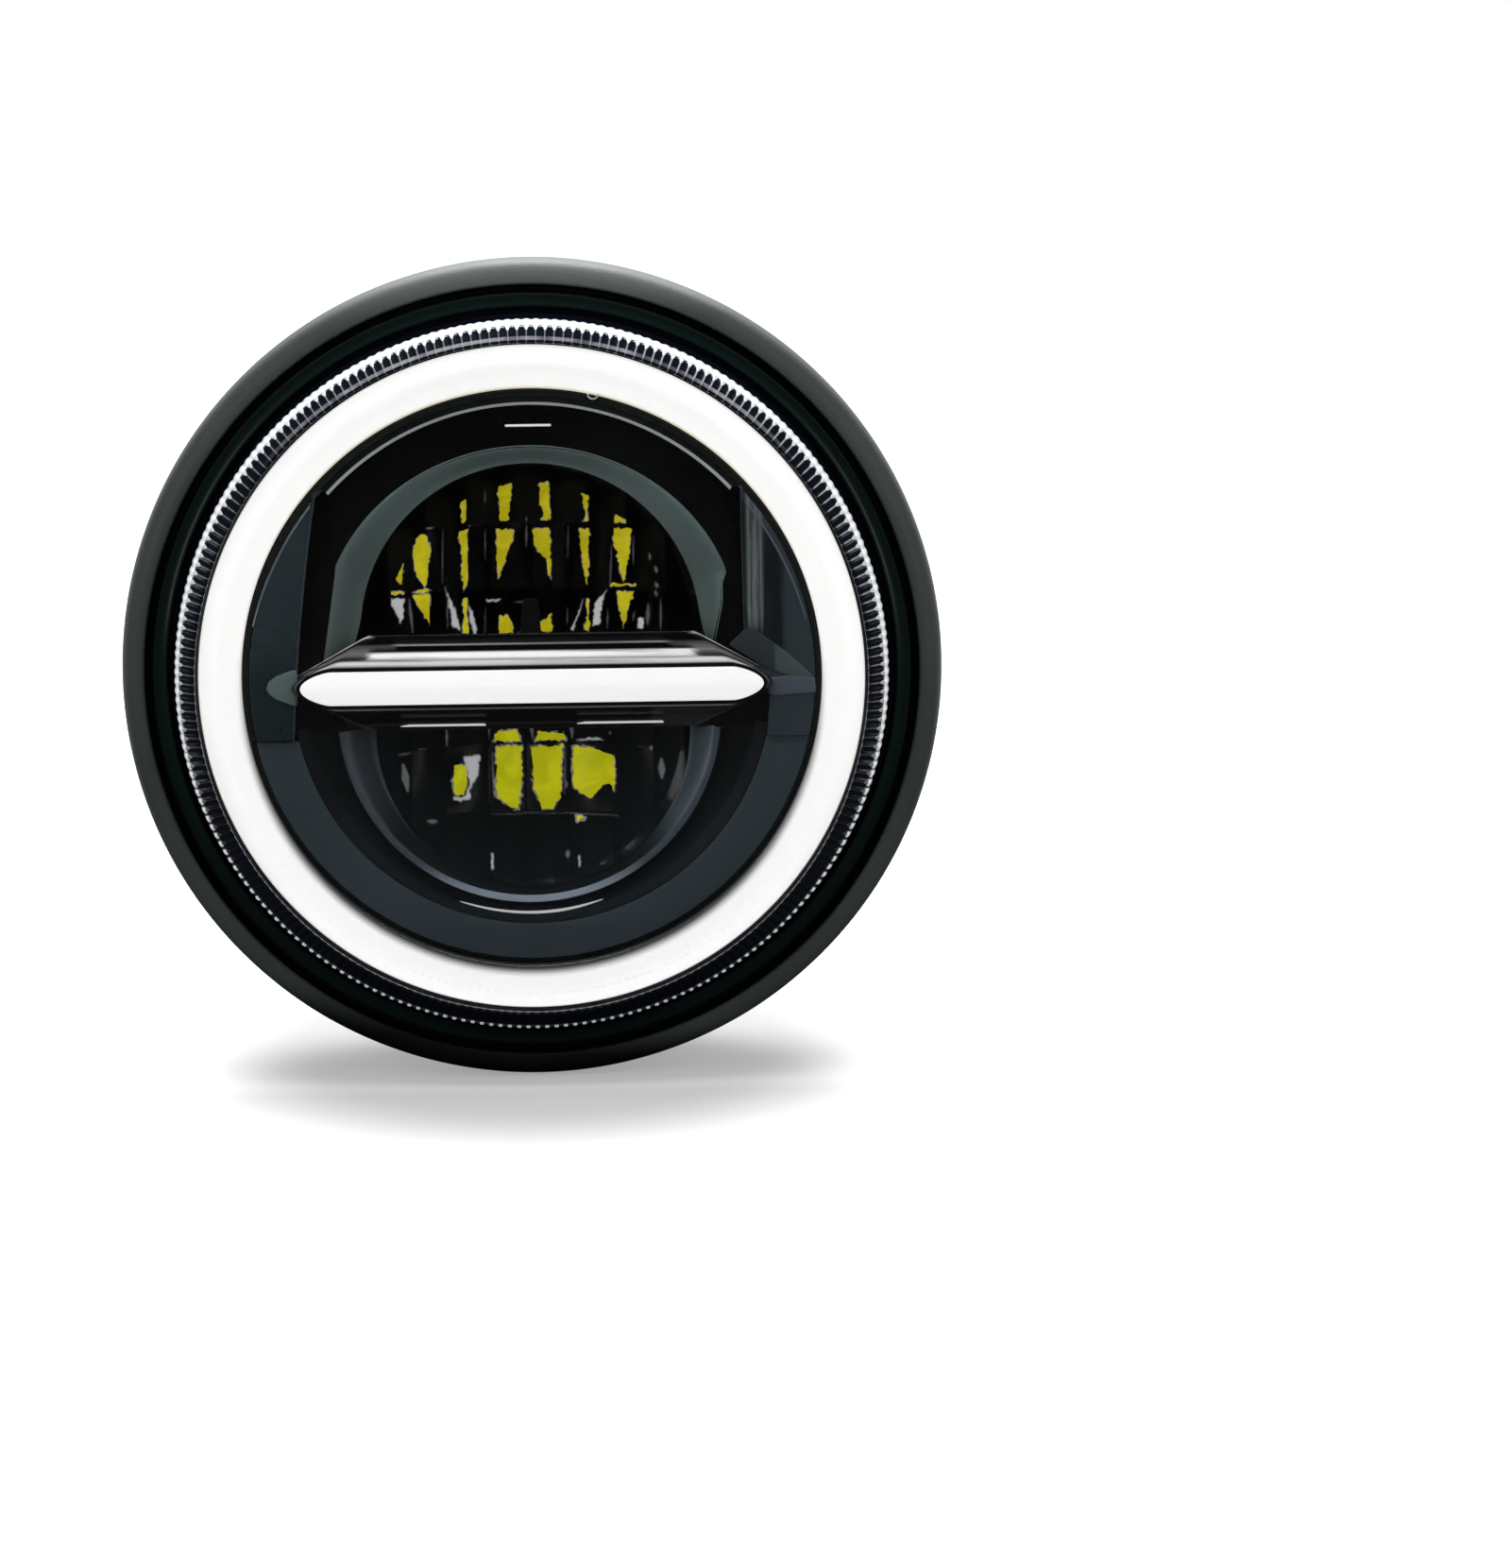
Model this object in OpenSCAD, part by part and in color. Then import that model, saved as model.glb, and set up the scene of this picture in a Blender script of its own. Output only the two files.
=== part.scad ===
// Round LED driving light for a vehicle: a sealed lamp unit with a ring light, a bar light and
// two half-round reflectors, held by a trim ring in a ball-shaped rear bucket.
// Millimetres. +Z is up and the light shines along -Y.

/* [Trim ring] */
// Outer radius of the trim ring
rim_r = 98; // [94:0.5:104]
// Radius of the roll at the front of the trim ring
rim_roll = 5; // [4.5:0.1:5.5]
// How far the crest of the roll stands in front of the rim plane
rim_crest = 10.5; // [9.5:0.1:11.5]
// Angle past its crest at which the roll's sheet ends
roll_end = 12; // [8:1:16]
// Radius of the barrel shape of the ring's flank
flank_r = 45; // [35:1:60]
// Sheet thickness of the trim ring
rim_sheet = 0.9; // [0.7:0.1:1.1]
// Length of the skirt behind the rim plane
rim_skirt = 8; // [7:0.5:10]
// How much the skirt narrows towards its rear edge
skirt_taper = 0.4; // [0:0.1:0.6]
// Gap between the skirt and the bucket
rim_gap = 0.6; // [0.5:0.1:1]
// Width from the trim ring's outside to the inner edge of the gloss surround
surround_w = 11.6; // [11.3:0.1:12]
// Radius of the hollow in the gloss surround
cove_r = 3; // [2.6:0.1:3.2]
// Gap between the lugs and the housing flange
lug_gap = 0.9; // [0.6:0.1:1.2]
// Width of the lugs that take the ring screws
lug_w = 10; // [8:0.5:14]

/* [Bucket] */
// Wall of the bucket
bucket_wall = 2.5; // [2:0.1:3]
// Distance of the bucket's front edge behind the rim plane
mouth_back = 5; // [5:0.5:6]
// Depth of the flats that are cut from the ball at the sides
flat_cut = 4; // [3:0.1:5]
// Wall behind the flats
flat_wall = 2.5; // [2:0.1:2.7]
// Angle of the cable opening below the rear axis
port_angle = 55; // [52:1:56]
// Radius of the cable opening's raised seat
port_seat_r = 25; // [24:0.5:27]
// How far the seat's face lies below the ball's outermost point there
port_seat_drop = 1; // [0.5:0.1:1.4]
// Wall under the seat
port_wall = 2.8; // [2:0.1:3.5]
// Radius of the hole that holds the grommet
grommet_r = 20; // [19:0.5:21]
// Radius of the opening through the grommet
grommet_bore_r = 17.5; // [16:0.5:18]
// Width of the grommet's lips round its hole
grommet_lip = 3; // [2:0.5:3.5]
// Thickness of the grommet's lips
grommet_lip_t = 1.8; // [1.4:0.1:2.2]
// Room round the grommet's inner lip
grommet_room = 0.4; // [0.2:0.1:0.8]

/* [Side fixings] */
// Distance of the side fixings' axis behind the rim plane
side_back = 40; // [36:0.5:44]
// Depth of each insert's face below the level of the flats
side_recess = 11.4; // [11.2:0.1:12]
// Radial gap round the insert's recess, where the bolt's spacer enters
side_recess_gap = 0.6; // [0.4:0.1:1.5]
// Wall radius of the threaded hole, for an M8 bolt
side_thread_r = 3.4; // [2.5:0.1:4.2]
// Length of the thread
side_thread_l = 10; // [8:0.5:10.5]
// Outer radius of the steel insert
side_insert_r = 6; // [5:0.1:7]
// Radius of the boss that holds the insert
side_boss_r = 11; // [9:0.5:13]
// Floor of the boss behind the insert
side_floor = 1; // [0.8:0.1:2]

/* [Rim screws] */
// Angle of each rim screw from straight down
rim_screw_angle = 44; // [40:1:48]
// Distance of the screw axes behind the rim plane
rim_screw_back = 20; // [18:0.5:24]
// Radius of the screw's thread
rim_screw_r = 2.45; // [2:0.05:2.6]
// Radius of the screw's head
rim_head_r = 3.6; // [3.3:0.1:4]
// Height of the screw's head
rim_head_h = 2.6; // [2:0.1:2.8]
// Radial gap round the head in its recess
rim_head_gap = 0.3; // [0.2:0.05:0.5]
// Radial gap round the thread
thread_gap = 0.05; // [0.03:0.01:0.1]
// Outer radius of the brass insert
rim_insert_r = 4.3; // [4.2:0.1:4.8]
// Length of the brass insert
rim_insert_l = 3.3; // [2.8:0.1:3.6]
// Depth of the brass insert's inner end below the ball's surface
rim_boss_h = 9.4; // [9.2:0.1:9.8]
// Radius of the boss round the insert
rim_boss_r = 6.5; // [6:0.1:7.5]
// Length of the screw's end that reaches past the boss
rim_tip = 3.4; // [3:0.1:3.8]
// Gap between boss and catch tab
tab_gap = 1.1; // [0.8:0.1:1.4]
// Thickness of the catch tabs
tab_t = 1.5; // [1.2:0.1:1.8]
// Width of the catch tabs
tab_w = 16; // [12:0.5:18]
// Length of the catch tabs beyond the screw axis
tab_past = 6; // [5:0.5:8]
// Gap of the notch round the screw's end
notch_gap = 0.35; // [0.3:0.05:0.6]

/* [Rim hook] */
// Distance of the hook's rod behind the rim plane
hook_back = 15; // [14:0.5:17]
// Radius of the hook's rod
hook_rod_r = 1.5; // [1.2:0.1:1.8]
// Length of the hook's rod
hook_rod_l = 18; // [16:0.5:20]
// Room between the rod and the bucket's wall above it
hook_head = 1; // [0.8:0.1:1.5]
// Gap round the rod in its saddle
hook_gap = 0.35; // [0.3:0.05:0.5]
// Thickness of the hook's plate
hook_t = 1.5; // [1.2:0.1:1.8]
// Width of the hook's tongue
hook_w = 8; // [6:0.5:9]
// Depth of the tongue's bend below the rod's axis
hook_drop = 4; // [3.6:0.1:4.6]
// Wall of the saddle round the rod
saddle_wall = 2.2; // [1.8:0.1:2.6]
// Gap between the tongue and each saddle ear
ear_gap = 0.8; // [0.5:0.1:1.2]

/* [Lens] */
// How far the lens stands in front of the rim plane
lens_reach = 32.6; // [31:0.2:36]
// Width of the fluted crown round the lens face
crown_w = 4.8; // [4.3:0.1:5.3]
// Distance of the face's edge in front of the rim plane
face_d = 26; // [25.5:0.1:27]
// How much the lens wall narrows from its flange to the crown
crown_taper = 1.5; // [1:0.1:2.2]
// Distance of the crown's base in front of the rim plane
crown_d = 20; // [18:0.5:21]
// Gap between the lens wall and the surround
lens_gap = 0.6; // [0.4:0.1:1.2]
// Wall of the lens
lens_wall = 2.5; // [2:0.1:2.8]
// Width of the lens flange outside the lens wall
flange_w = 3.2; // [2.6:0.1:3.5]
// Thickness of the lens flange
lens_flange_t = 2.5; // [2:0.1:3]
// Thickness of the gasket between lens and surround
gasket_t = 0.8; // [0.6:0.1:1.2]
// Width of the lens rib and of the seal's groove
rib_w = 2; // [1.6:0.1:2.4]
// Height of the lens rib
rib_h = 1; // [0.8:0.1:1.2]
// Thickness of the seal under the rib
seal_t = 1; // [0.8:0.1:1.4]

/* [Lamp housing] */
// Distance of the housing flange's front face from the rim plane
seat_d = 3; // [2.5:0.1:3.2]
// Thickness of the housing flange
seat_t = 4; // [3.6:0.1:4.5]
// Gap between the lens flange's edge and the edge of the housing flange
seat_edge = 0.3; // [0:0.1:0.6]
// Width of the housing flange outside the housing wall
seat_w = 8.3; // [7.8:0.1:8.8]
// Wall of the housing
housing_wall = 2.7; // [2.2:0.1:3]
// Distance of the start of the cone behind the rim plane
cone_back = 12; // [11:0.5:14]
// Width of the housing's cone
cone_w = 19; // [15:0.5:23]
// Thickness of the rear wall
rear_wall = 3; // [2.5:0.1:3.2]
// Length of the cooling fins
fin_l = 14; // [8:0.5:16]
// Thickness of the cooling fins
fin_t = 2; // [1.6:0.1:2.4]
// Pitch of the cooling fins
fin_pitch = 8; // [8:0.5:11]
// Width of the rear wall outside the fins
fin_edge = 4; // [2:0.5:10]
// Radius of the rear cover
cover_r = 22; // [20:0.5:23]
// Thickness of the rear cover
cover_t = 3; // [2.4:0.1:4]
// Radius of the hole in the rear wall under the cover
cover_hole_r = 16; // [12:0.5:16.5]
// Radius of the circle of the cover's screws
cover_screw_pr = 19; // [18.7:0.1:19.3]
// Radius of the cover's screws
cover_screw_r = 1.3; // [1:0.1:1.4]
// Gap between the housing and the retaining ring
retainer_gap = 0.4; // [0.2:0.1:0.8]
// Thickness of the retaining ring
retainer_t = 1.5; // [1.2:0.1:1.6]
// Distance of the retaining ring's edge from the trim ring's outside
retainer_edge = 2.5; // [2:0.1:3]
// Distance of the ring screws from the retaining ring's edge
ring_screw_edge = 2.5; // [2.3:0.1:2.8]
// Radius of the ring screws
ring_screw_r = 1.6; // [1.4:0.1:1.8]
// Radius of the ring screws' heads
ring_head_r = 3.2; // [3:0.1:3.4]
// Height of the ring screws' heads
ring_head_h = 1.6; // [1.2:0.1:1.8]

/* [Inner bezel] */
// Gap between the bezel and the ring light
bezel_gap = 0.4; // [0.3:0.1:1]
// Distance of the bezel's face in front of the rim plane
bezel_d = 22; // [21.5:0.1:22.5]
// Thickness of the bezel's face
bezel_t = 3; // [2.6:0.1:3.4]
// Wall of the bezel
bezel_wall = 1.5; // [1.2:0.1:1.8]
// Height of the raised side panels
panel_h = 0.8; // [0.5:0.1:1.2]
// Width of the bezel's face at each side of the sunk upper window
panel_w = 16.3; // [14:0.1:18]
// Radius of the window's upper edge
window_r = 75; // [70:1:90]
// Width of the bezel's face above the window
window_edge = 2.3; // [1.8:0.1:4]
// Depth of the sunk upper window
window_sink = 2; // [1:0.1:2.2]
// Lower end of the side panels
panel_low = -14.3; // [-18:0.1:-10]
// Upper end of the side panels
panel_top = 46; // [40:0.5:48]

/* [Reflectors] */
// Width of the upper flare round the reflector's opening
up_flare_w = 7.5; // [7:0.1:9]
// Height of the centre of the upper opening
up_z = 8.6; // [8:0.1:9.5]
// Width of the bezel's face outside the upper flare
up_margin = 20.2; // [18.5:0.1:21]
// Height of the centre of the upper flare
up_flare_z = 6.5; // [5.5:0.1:7]
// How far the upper bowl's radius is larger than its opening's
up_swell = 6.4; // [5.5:0.1:9]
// Width of the sunk band between the lower lip and the reflector's opening
low_band_w = 7.9; // [7:0.1:10]
// Height of the centre of the lower opening
low_z = -14; // [-15:0.1:-12.5]
// Width of the sloping ring round the lower lip
moat_w = 11.3; // [9.5:0.1:11.6]
// Height of the centre of the lower lip
lip_z = -8.2; // [-8.6:0.1:-7.4]
// Width of the lower lip
lip_w = 1.5; // [1.2:0.1:1.8]
// Width of the bezel's face outside the sloping ring
moat_margin = 11.9; // [10.5:0.1:13]
// Height of the centre of the sloping ring
moat_z = -2; // [-3:0.1:-1]
// How far the lower bowl's radius is larger than its opening's
low_swell = 5.8; // [5:0.1:8]
// Wall of the bowls
bowl_wall = 1.5; // [1.2:0.1:1.6]
// How far the bowls' openings are wider than the bezel's
bowl_margin = 1.3; // [1:0.1:1.6]
// Distance of the bezel's rear edge in front of the rim plane
flare_d = 11.5; // [11:0.1:12]
// Pitch of the upright facet ribs in the bowls
rib_pitch = 9; // [8:0.5:12]
// Height of the facet ribs
facet_h = 1.2; // [0.8:0.1:1.6]

/* [Bar light] */
// Height of the bar's centre line
bar_z = -1.3; // [-2:0.1:-0.8]
// Length of the frame's tip beyond the lit bar
frame_tip = 6.4; // [6:0.1:8]
// Height of the lit bar
bar_h = 8.4; // [7.6:0.1:9.6]
// Length of the bar's tapered ends
bar_end = 6.2; // [3:0.2:10]
// How far the bar's face stands in front of the bezel's face
bar_proud = 3.4; // [3:0.1:3.6]
// Thickness of the bar's diffuser
bar_t = 3; // [2.4:0.1:3.4]
// Gap between the frame's tips and the bezel's edge
frame_edge = 7.3; // [6.5:0.1:9]
// Length of the frame's slanting edges along the bar
frame_slant = 16; // [13:0.5:19]
// Height of the bar's frame at its base
frame_h = 21.6; // [20:0.2:23]
// Border of the frame round the bar at its front
frame_border = 0.9; // [0.7:0.1:1.1]
// Gap round the frame in the bezel's pocket
frame_gap = 0.4; // [0.2:0.1:0.8]

/* [Ring light] */
// Width of the ring light
halo_w = 9.7; // [9:0.1:9.8]
// Gap between the ring light and the edge of the lens face
halo_gap = 1.1; // [1:0.1:1.7]
// How far its face stands in front of the bezel's face
halo_proud = 0.4; // [0:0.1:0.6]
// Thickness of its diffuser
halo_t = 3.2; // [2.6:0.1:3.6]
// How many LEDs light the ring
halo_leds_n = 40; // [24:4:60]
// Width of the ring light's circuit board
halo_board_w = 6.8; // [5:0.1:7]
// Size of one small LED
small_led_w = 2.8; // [2:0.1:3.5]

/* [Boards] */
// Thickness of the circuit boards
board_t = 1.2; // [1:0.1:1.6]
// Gap between the driver board and the edge of the rear wall
driver_edge = 18; // [16:0.5:22]
// Thickness of the heat spreader
spreader_t = 3; // [2:0.1:3.5]
// Gap between the heat spreader and the edge of the rear wall
spreader_edge = 6; // [4:0.5:8]
// Gap between the bowls and the heat spreader
bowl_gap = 1.8; // [1.2:0.1:2.4]
// Room for the driver between the heat spreader and the rear wall
driver_room = 11; // [10:0.5:13]
// Half-thickness of the plate that carries the LEDs
core_half = 2; // [1.6:0.1:2.2]
// Width of the plate that carries the LEDs
core_w = 60; // [50:1:64]
// Width of the reflectors' LED boards
led_board_w = 30; // [26:0.5:30]
// Gap between the LED boards' rear corners and the bowls
led_board_gap = 1; // [0.6:0.1:1.6]
// Distance of the LED boards' front edge from the front of their plate
led_board_edge = 5; // [4:0.5:7]
// Distance of the LED emitters from the front and rear edges of their board
emitter_edge = 3; // [2:0.5:4]
// Size of one LED emitter
emitter = 3.6; // [3:0.1:4.2]
// Height of one LED emitter
emitter_h = 0.8; // [0.6:0.1:1]
// Width of the upper reflector's glare shield
shield_w = 13; // [10:0.5:16]
// Height of the upper reflector's glare shield
shield_h = 17; // [12:0.5:20]
// Length of the heat spreader's screws in their posts
spreader_screw_l = 6; // [4:0.5:7]
// Radius of the driver's capacitors
cap_r = 4; // [3:0.5:5]
// Height of the driver's capacitors
cap_h = 5; // [3:0.5:7]
// Inner radius of the driver's choke
choke_r = 3; // [2:0.5:4]
// Thickness of the driver's choke
choke_w = 4; // [2:0.5:5]
// Width of a power transistor on the driver board
chip_w = 8; // [6:0.5:9]
// Height of a power transistor on the driver board
chip_h = 2; // [1:0.1:3]
// Width of the driver's controller chip
controller_w = 9; // [7:0.5:10]
// Radius of the heat spreader's screws
spreader_screw_r = 1.5; // [1.2:0.1:1.6]

// Radius of the posts that carry the heat spreader
post_w = 4; // [3.2:0.1:4.4]
// Radius of the posts that carry the driver board
standoff_w = 3; // [2.5:0.1:3.5]

/* [Cord] */
// Radius of the cable gland
gland_r = 6; // [5:0.1:6.4]
// Length of the gland's tapered nose
gland_nose_l = 6; // [4:0.5:10]
// Diameter of the twin lead
cord_d = 4; // [3.4:0.1:4.4]
// Radius of the coil at the middle of its turns
coil_r = 22; // [21.5:0.1:22.5]
// Turns in the coil, one on top of the other
coil_turns = 3; // [2:1:4]
// Width of the plug
plug_w = 22; // [20:0.5:24]
// Length of the plug
plug_l = 24; // [20:0.5:28]
// Height of the plug
plug_h = 20; // [16:0.5:22]
// Width of a plug blade
blade_w = 6.3; // [4.8:0.1:8]
// Thickness of a plug blade
blade_t = 0.8; // [0.6:0.1:1]
// Length of a plug blade
blade_l = 12; // [8:0.5:14]

/* [Hidden] */
$fn = 96;
eps = 0.1;   // how far a cutting shape reaches past a face
big = 300;   // larger than the light

// The origin is on the optical axis, half-way along the depth of the light.
bucket_r = sqrt(pow(rim_r - skirt_taper - rim_sheet - rim_gap, 2) + pow(rim_skirt, 2));
bucket_in = bucket_r - bucket_wall;
rim_y = (lens_reach - bucket_r) / 2;
flat_x = bucket_r - flat_cut;
port_seat_d = bucket_r - port_seat_drop;
side_face_x = flat_x - side_recess;
side_in = side_face_x - side_thread_l - side_floor;

// Front roll of the trim ring: a small arc that runs on from the flank's large arc.
flank_c = rim_r - flank_r;
roll_d = rim_crest - rim_roll;
roll_c = flank_c + sqrt(pow(flank_r - rim_roll, 2) - pow(roll_d, 2));
roll_angle = asin(roll_d / (flank_r - rim_roll));
roll_in = roll_c - rim_roll * sin(roll_end);

// Radii from the trim ring inwards
surround_in_r = rim_r - surround_w;
lens_side_r = surround_in_r - lens_gap;
lens_flange_r = lens_side_r + flange_w;
crown_r = lens_side_r - crown_taper;
face_r = crown_r - crown_w;
halo_out_r = face_r - halo_gap;
halo_in_r = halo_out_r - halo_w;
halo_mid_r = (halo_in_r + halo_out_r) / 2;
bezel_r = halo_in_r - bezel_gap;
seat_r = lens_flange_r + seat_edge;
housing_r = seat_r - seat_w;
rear_r = housing_r - cone_w;
fin_r = rear_r - fin_edge;
retainer_r = rim_r - retainer_edge;
ring_screw_pr = retainer_r - ring_screw_edge;
lug_in = seat_r + lug_gap;

// Sizes across the bezel
window_x = bezel_r - panel_w;
window_top = bezel_r - window_edge;
up_flare_r = bezel_r - up_margin;
up_r = up_flare_r - up_flare_w;
up_bowl_r = up_r + up_swell;
moat_r = bezel_r - moat_margin;
lip_r = moat_r - moat_w;
low_r = lip_r - low_band_w;
low_bowl_r = low_r + low_swell;
frame_l = 2 * (bezel_r - frame_edge);
frame_flat = frame_l - 2 * frame_slant;
bar_l = frame_l - 2 * frame_tip;

// Stack of the flanges
lens_front_d = seat_d + lens_flange_t;
surround_d = lens_front_d + gasket_t;
seat_back_d = seat_d - seat_t;
retainer_d = seat_back_d - retainer_t;
retainer_in = housing_r + retainer_gap;
sag = lens_reach - face_d;
dome_r = (pow(face_r, 2) + pow(sag, 2)) / (2 * sag);
groove_r = lens_side_r - lens_wall / 2;

// Hook
hook_z = sqrt(pow(bucket_in, 2) - pow(hook_back, 2)) - hook_rod_r - hook_head;
tongue_top = hook_z - hook_drop;
ear_in = hook_w / 2 + ear_gap;

// Rim screws
rim_boss_in = bucket_r - rim_boss_h;
rim_seat = rim_boss_in + rim_insert_l;
tab_out = rim_boss_in - tab_gap;
ring_screw_angles = [60, 120, 200, 340];

// Lamp inside
housing_in = housing_r - housing_wall;
ledge_d = -8;
ledge_w = 3.3;
halo_d = bezel_d + halo_proud;
shelf_d = halo_d - halo_t - 3.7;
skirt_r = housing_in - 0.3;
bowl_d = flare_d - bowl_wall;
up_bowl_d = bowl_d + sqrt(pow(up_bowl_r, 2) - pow(up_r + bowl_margin, 2));
low_bowl_d = bowl_d + sqrt(pow(low_bowl_r, 2) - pow(low_r + bowl_margin, 2));
core_top = bar_z + core_half;
core_low = bar_z - core_half;
core_front = 13;
bowl_back = min(up_bowl_d - up_bowl_r, low_bowl_d - low_bowl_r) - bowl_wall;
spreader_back = bowl_gap - bowl_back;
rear_back = spreader_back + spreader_t + driver_room + rear_wall;
rear_floor = -rear_back + rear_wall;
driver_r = rear_r - driver_edge;
spreader_r = rear_r - spreader_edge;
post_r = spreader_r - 1.5 * post_w;
standoff_r = driver_r - 2 * standoff_w;
post_angles = [45:90:315];
driver_d = rear_floor + 3;
cover_d = -rear_back - cover_t;
cover_screw_angles = [30, 150, 270];
vent_at = [8, 4, 0];
vent_stem_r = 2.5;
gland_z = -cover_r - 2.5 * gland_r;
gland_back = rear_back + fin_l;
frame_base_d = bezel_d - window_sink;
moat_top = core_low - 9;
bar_d = bezel_d + bar_proud;

// How far back a bowl reaches beside an LED board, at the board's rear corners
function board_reach(r, centre_d, z) = centre_d - sqrt(pow(r, 2) - pow(led_board_w / 2, 2) - pow(z, 2));
led_board_d = led_board_gap + max(board_reach(up_bowl_r, up_bowl_d, up_z - core_top),
    board_reach(low_bowl_r, low_bowl_d, core_low - board_t - low_z));
led_board_l = core_front - led_board_edge - led_board_d;

// Cord: points on the route of the lead, from the lamp to the coil and from the coil to the plug.
floor_z = -rim_r;
lay_z = floor_z + cord_d / 2 + 0.1;
coil_x = -16;
coil_y = 84;
coil_top = floor_z + coil_turns * cord_d + 0.3;
tail_z = coil_top - cord_d / 2 - 0.1;
plug_x = 30;
plug_y = 78;
plug_mid = floor_z + plug_h / 2;
blade_places = [[plug_w / 2, plug_h - 4.5], [4.5, 8], [plug_w - 4.5, 8]];
blade_root = 4;
lead_in = [[0, 18, -38], [0, 22.5, -38.4], [0.3, 26.5, -41], [1, 28.4, -46], [2, 27.5, -52], [2.8, 25.3, -57],
    [3, 24, -62]];
lead_out = [[2.7, 24.4, -63.3], [1, 26, -67], [-4, 29, -72], [-11, 31.5, -77], [-19, 33.8, -81],
    [-27, 36.5, -85.5], [-34, 40.5, -90], [-40, 47, -93.8], [-43, 56, lay_z], [-42, 66, lay_z],
    [coil_x - coil_r - 0.8, 76, lay_z], [coil_x - coil_r, coil_y, lay_z]];
tail = [[coil_x + coil_r, coil_y, tail_z], [6.4, 76, tail_z - 1], [8.6, 68, tail_z - 4], [14, 62, lay_z + 1],
    [21.5, 61.5, lay_z], [27.5, 66, lay_z + 2.5], [plug_x, 72.5, plug_mid - 1], [plug_x, plug_y, plug_mid]];

// Local frame of the lamp: x right, y up, z towards the front, zero at the centre of the rim plane.
module optic() {
    translate([0, rim_y, 0]) rotate([90, 0, 0]) children();
}

// A ring of rectangular section about the optical axis.
module ring(r_in, r_out, d0, d1) {
    rotate_extrude() translate([r_in, d0]) square([r_out - r_in, d1 - d0]);
}

// A disc about the optical axis.
module disc(r, d0, d1) {
    translate([0, 0, d0]) cylinder(r = r, h = d1 - d0);
}

// The half-space above or below a height.
module above(z) {
    translate([-big / 2, z, -big / 2]) cube([big, big, big]);
}

module below(z) {
    translate([-big / 2, z - big, -big / 2]) cube([big, big, big]);
}

// Turns its children, drawn along z, to point outwards at one rim screw; side is -1 or 1.
module at_rim_screw(side) {
    translate([0, 0, -rim_screw_back]) rotate([0, 0, side * rim_screw_angle]) rotate([90, 0, 0]) children();
}

// Turns its children, drawn along z, to point outwards through the cable opening.
module at_port() {
    rotate([180 - port_angle, 0, 0]) children();
}

// Section of the space inside the trim ring's sheet, drawn smaller by inset.
module rim_section(inset) {
    intersection() {
        translate([flank_c, 0]) circle(flank_r - inset, $fn = 128);
        polygon([[flank_c, 0], [flank_c + big * cos(roll_angle), big * sin(roll_angle)], [big, 0]]);
    }
    translate([roll_c, roll_d]) circle(rim_roll - inset);
    translate([flank_c, 0]) polygon([[0, 0], [flank_r - inset, 0],
        [flank_r - inset - skirt_taper, -rim_skirt], [0, -rim_skirt]]);
}

module trim_ring() {
    color([0.10, 0.11, 0.11]) optic() {
        rotate_extrude($fn = 128) intersection() {
            difference() {
                rim_section(0);
                rim_section(rim_sheet);
                translate([0, -rim_skirt - eps]) square([flank_c + flank_r - 2 * rim_roll, big]);
            }
            translate([roll_in, -rim_skirt]) square([big, big]);
        }
        for (a = ring_screw_angles) rotate([0, 0, a]) difference() {
            translate([lug_in, -lug_w / 2, seat_back_d])
                cube([rim_r - rim_sheet * 0.8 - lug_in, lug_w, surround_d - 1 - seat_back_d]);
            translate([ring_screw_pr, 0, seat_back_d - eps])
                cylinder(r = ring_screw_r + thread_gap, h = surround_d - seat_back_d);
        }
    }
}

module surround_ring() {
    lip_in = roll_in - 0.3;
    color([0.02, 0.02, 0.025]) optic() rotate_extrude($fn = 128) {
        difference() {
            translate([surround_in_r, surround_d]) square([lip_in + 1.4 - surround_in_r, 2.9]);
            translate([(surround_in_r + lip_in) / 2 + 0.2, surround_d + 1.1 + cove_r]) circle(cove_r);
            translate([surround_in_r - eps, surround_d + 2.2]) square([2.2, 2]);
        }
        intersection() {
            rim_section(rim_sheet);
            translate([lip_in, surround_d]) square([3, 10]);
        }
    }
}

module rim_gasket() {
    color([0.05, 0.05, 0.05]) optic()
        ring(surround_in_r, lens_flange_r - 0.3, lens_front_d, surround_d);
}

module retaining_ring() {
    color([0.55, 0.56, 0.58]) optic() {
        difference() {
            ring(retainer_in, retainer_r, retainer_d, seat_back_d);
            for (a = ring_screw_angles) rotate([0, 0, a])
                translate([ring_screw_pr, 0, retainer_d - eps])
                    cylinder(r = ring_screw_r + 0.3, h = retainer_t + 2 * eps);
        }
        for (side = [-1, 1]) catch_tab(side);
    }
}

// A tab of the retaining ring, with a notch that is open to the rear and takes a rim screw's end.
module catch_tab(side) {
    notch_r = rim_screw_r + notch_gap;
    rotate([0, 0, side * rim_screw_angle]) difference() {
        translate([-tab_w / 2, -tab_out, -rim_screw_back - tab_past])
            cube([tab_w, tab_t, rim_screw_back + tab_past + seat_back_d]);
        translate([0, 0, -rim_screw_back]) rotate([90, 0, 0]) cylinder(r = notch_r, h = big);
        translate([-notch_r, -big, -rim_screw_back - big]) cube([2 * notch_r, big, big]);
    }
}

module ring_screws() {
    color([0.6, 0.6, 0.62]) optic() for (a = ring_screw_angles) rotate([0, 0, a])
        translate([ring_screw_pr, 0, retainer_d]) difference() {
            union() {
                cylinder(r = ring_screw_r, h = surround_d - 2 - retainer_d);
                translate([0, 0, -ring_head_h]) cylinder(r = ring_head_r, h = ring_head_h);
            }
            translate([0, 0, -ring_head_h - eps]) cylinder(r = 1.3, h = 1, $fn = 6);
        }
}

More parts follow.
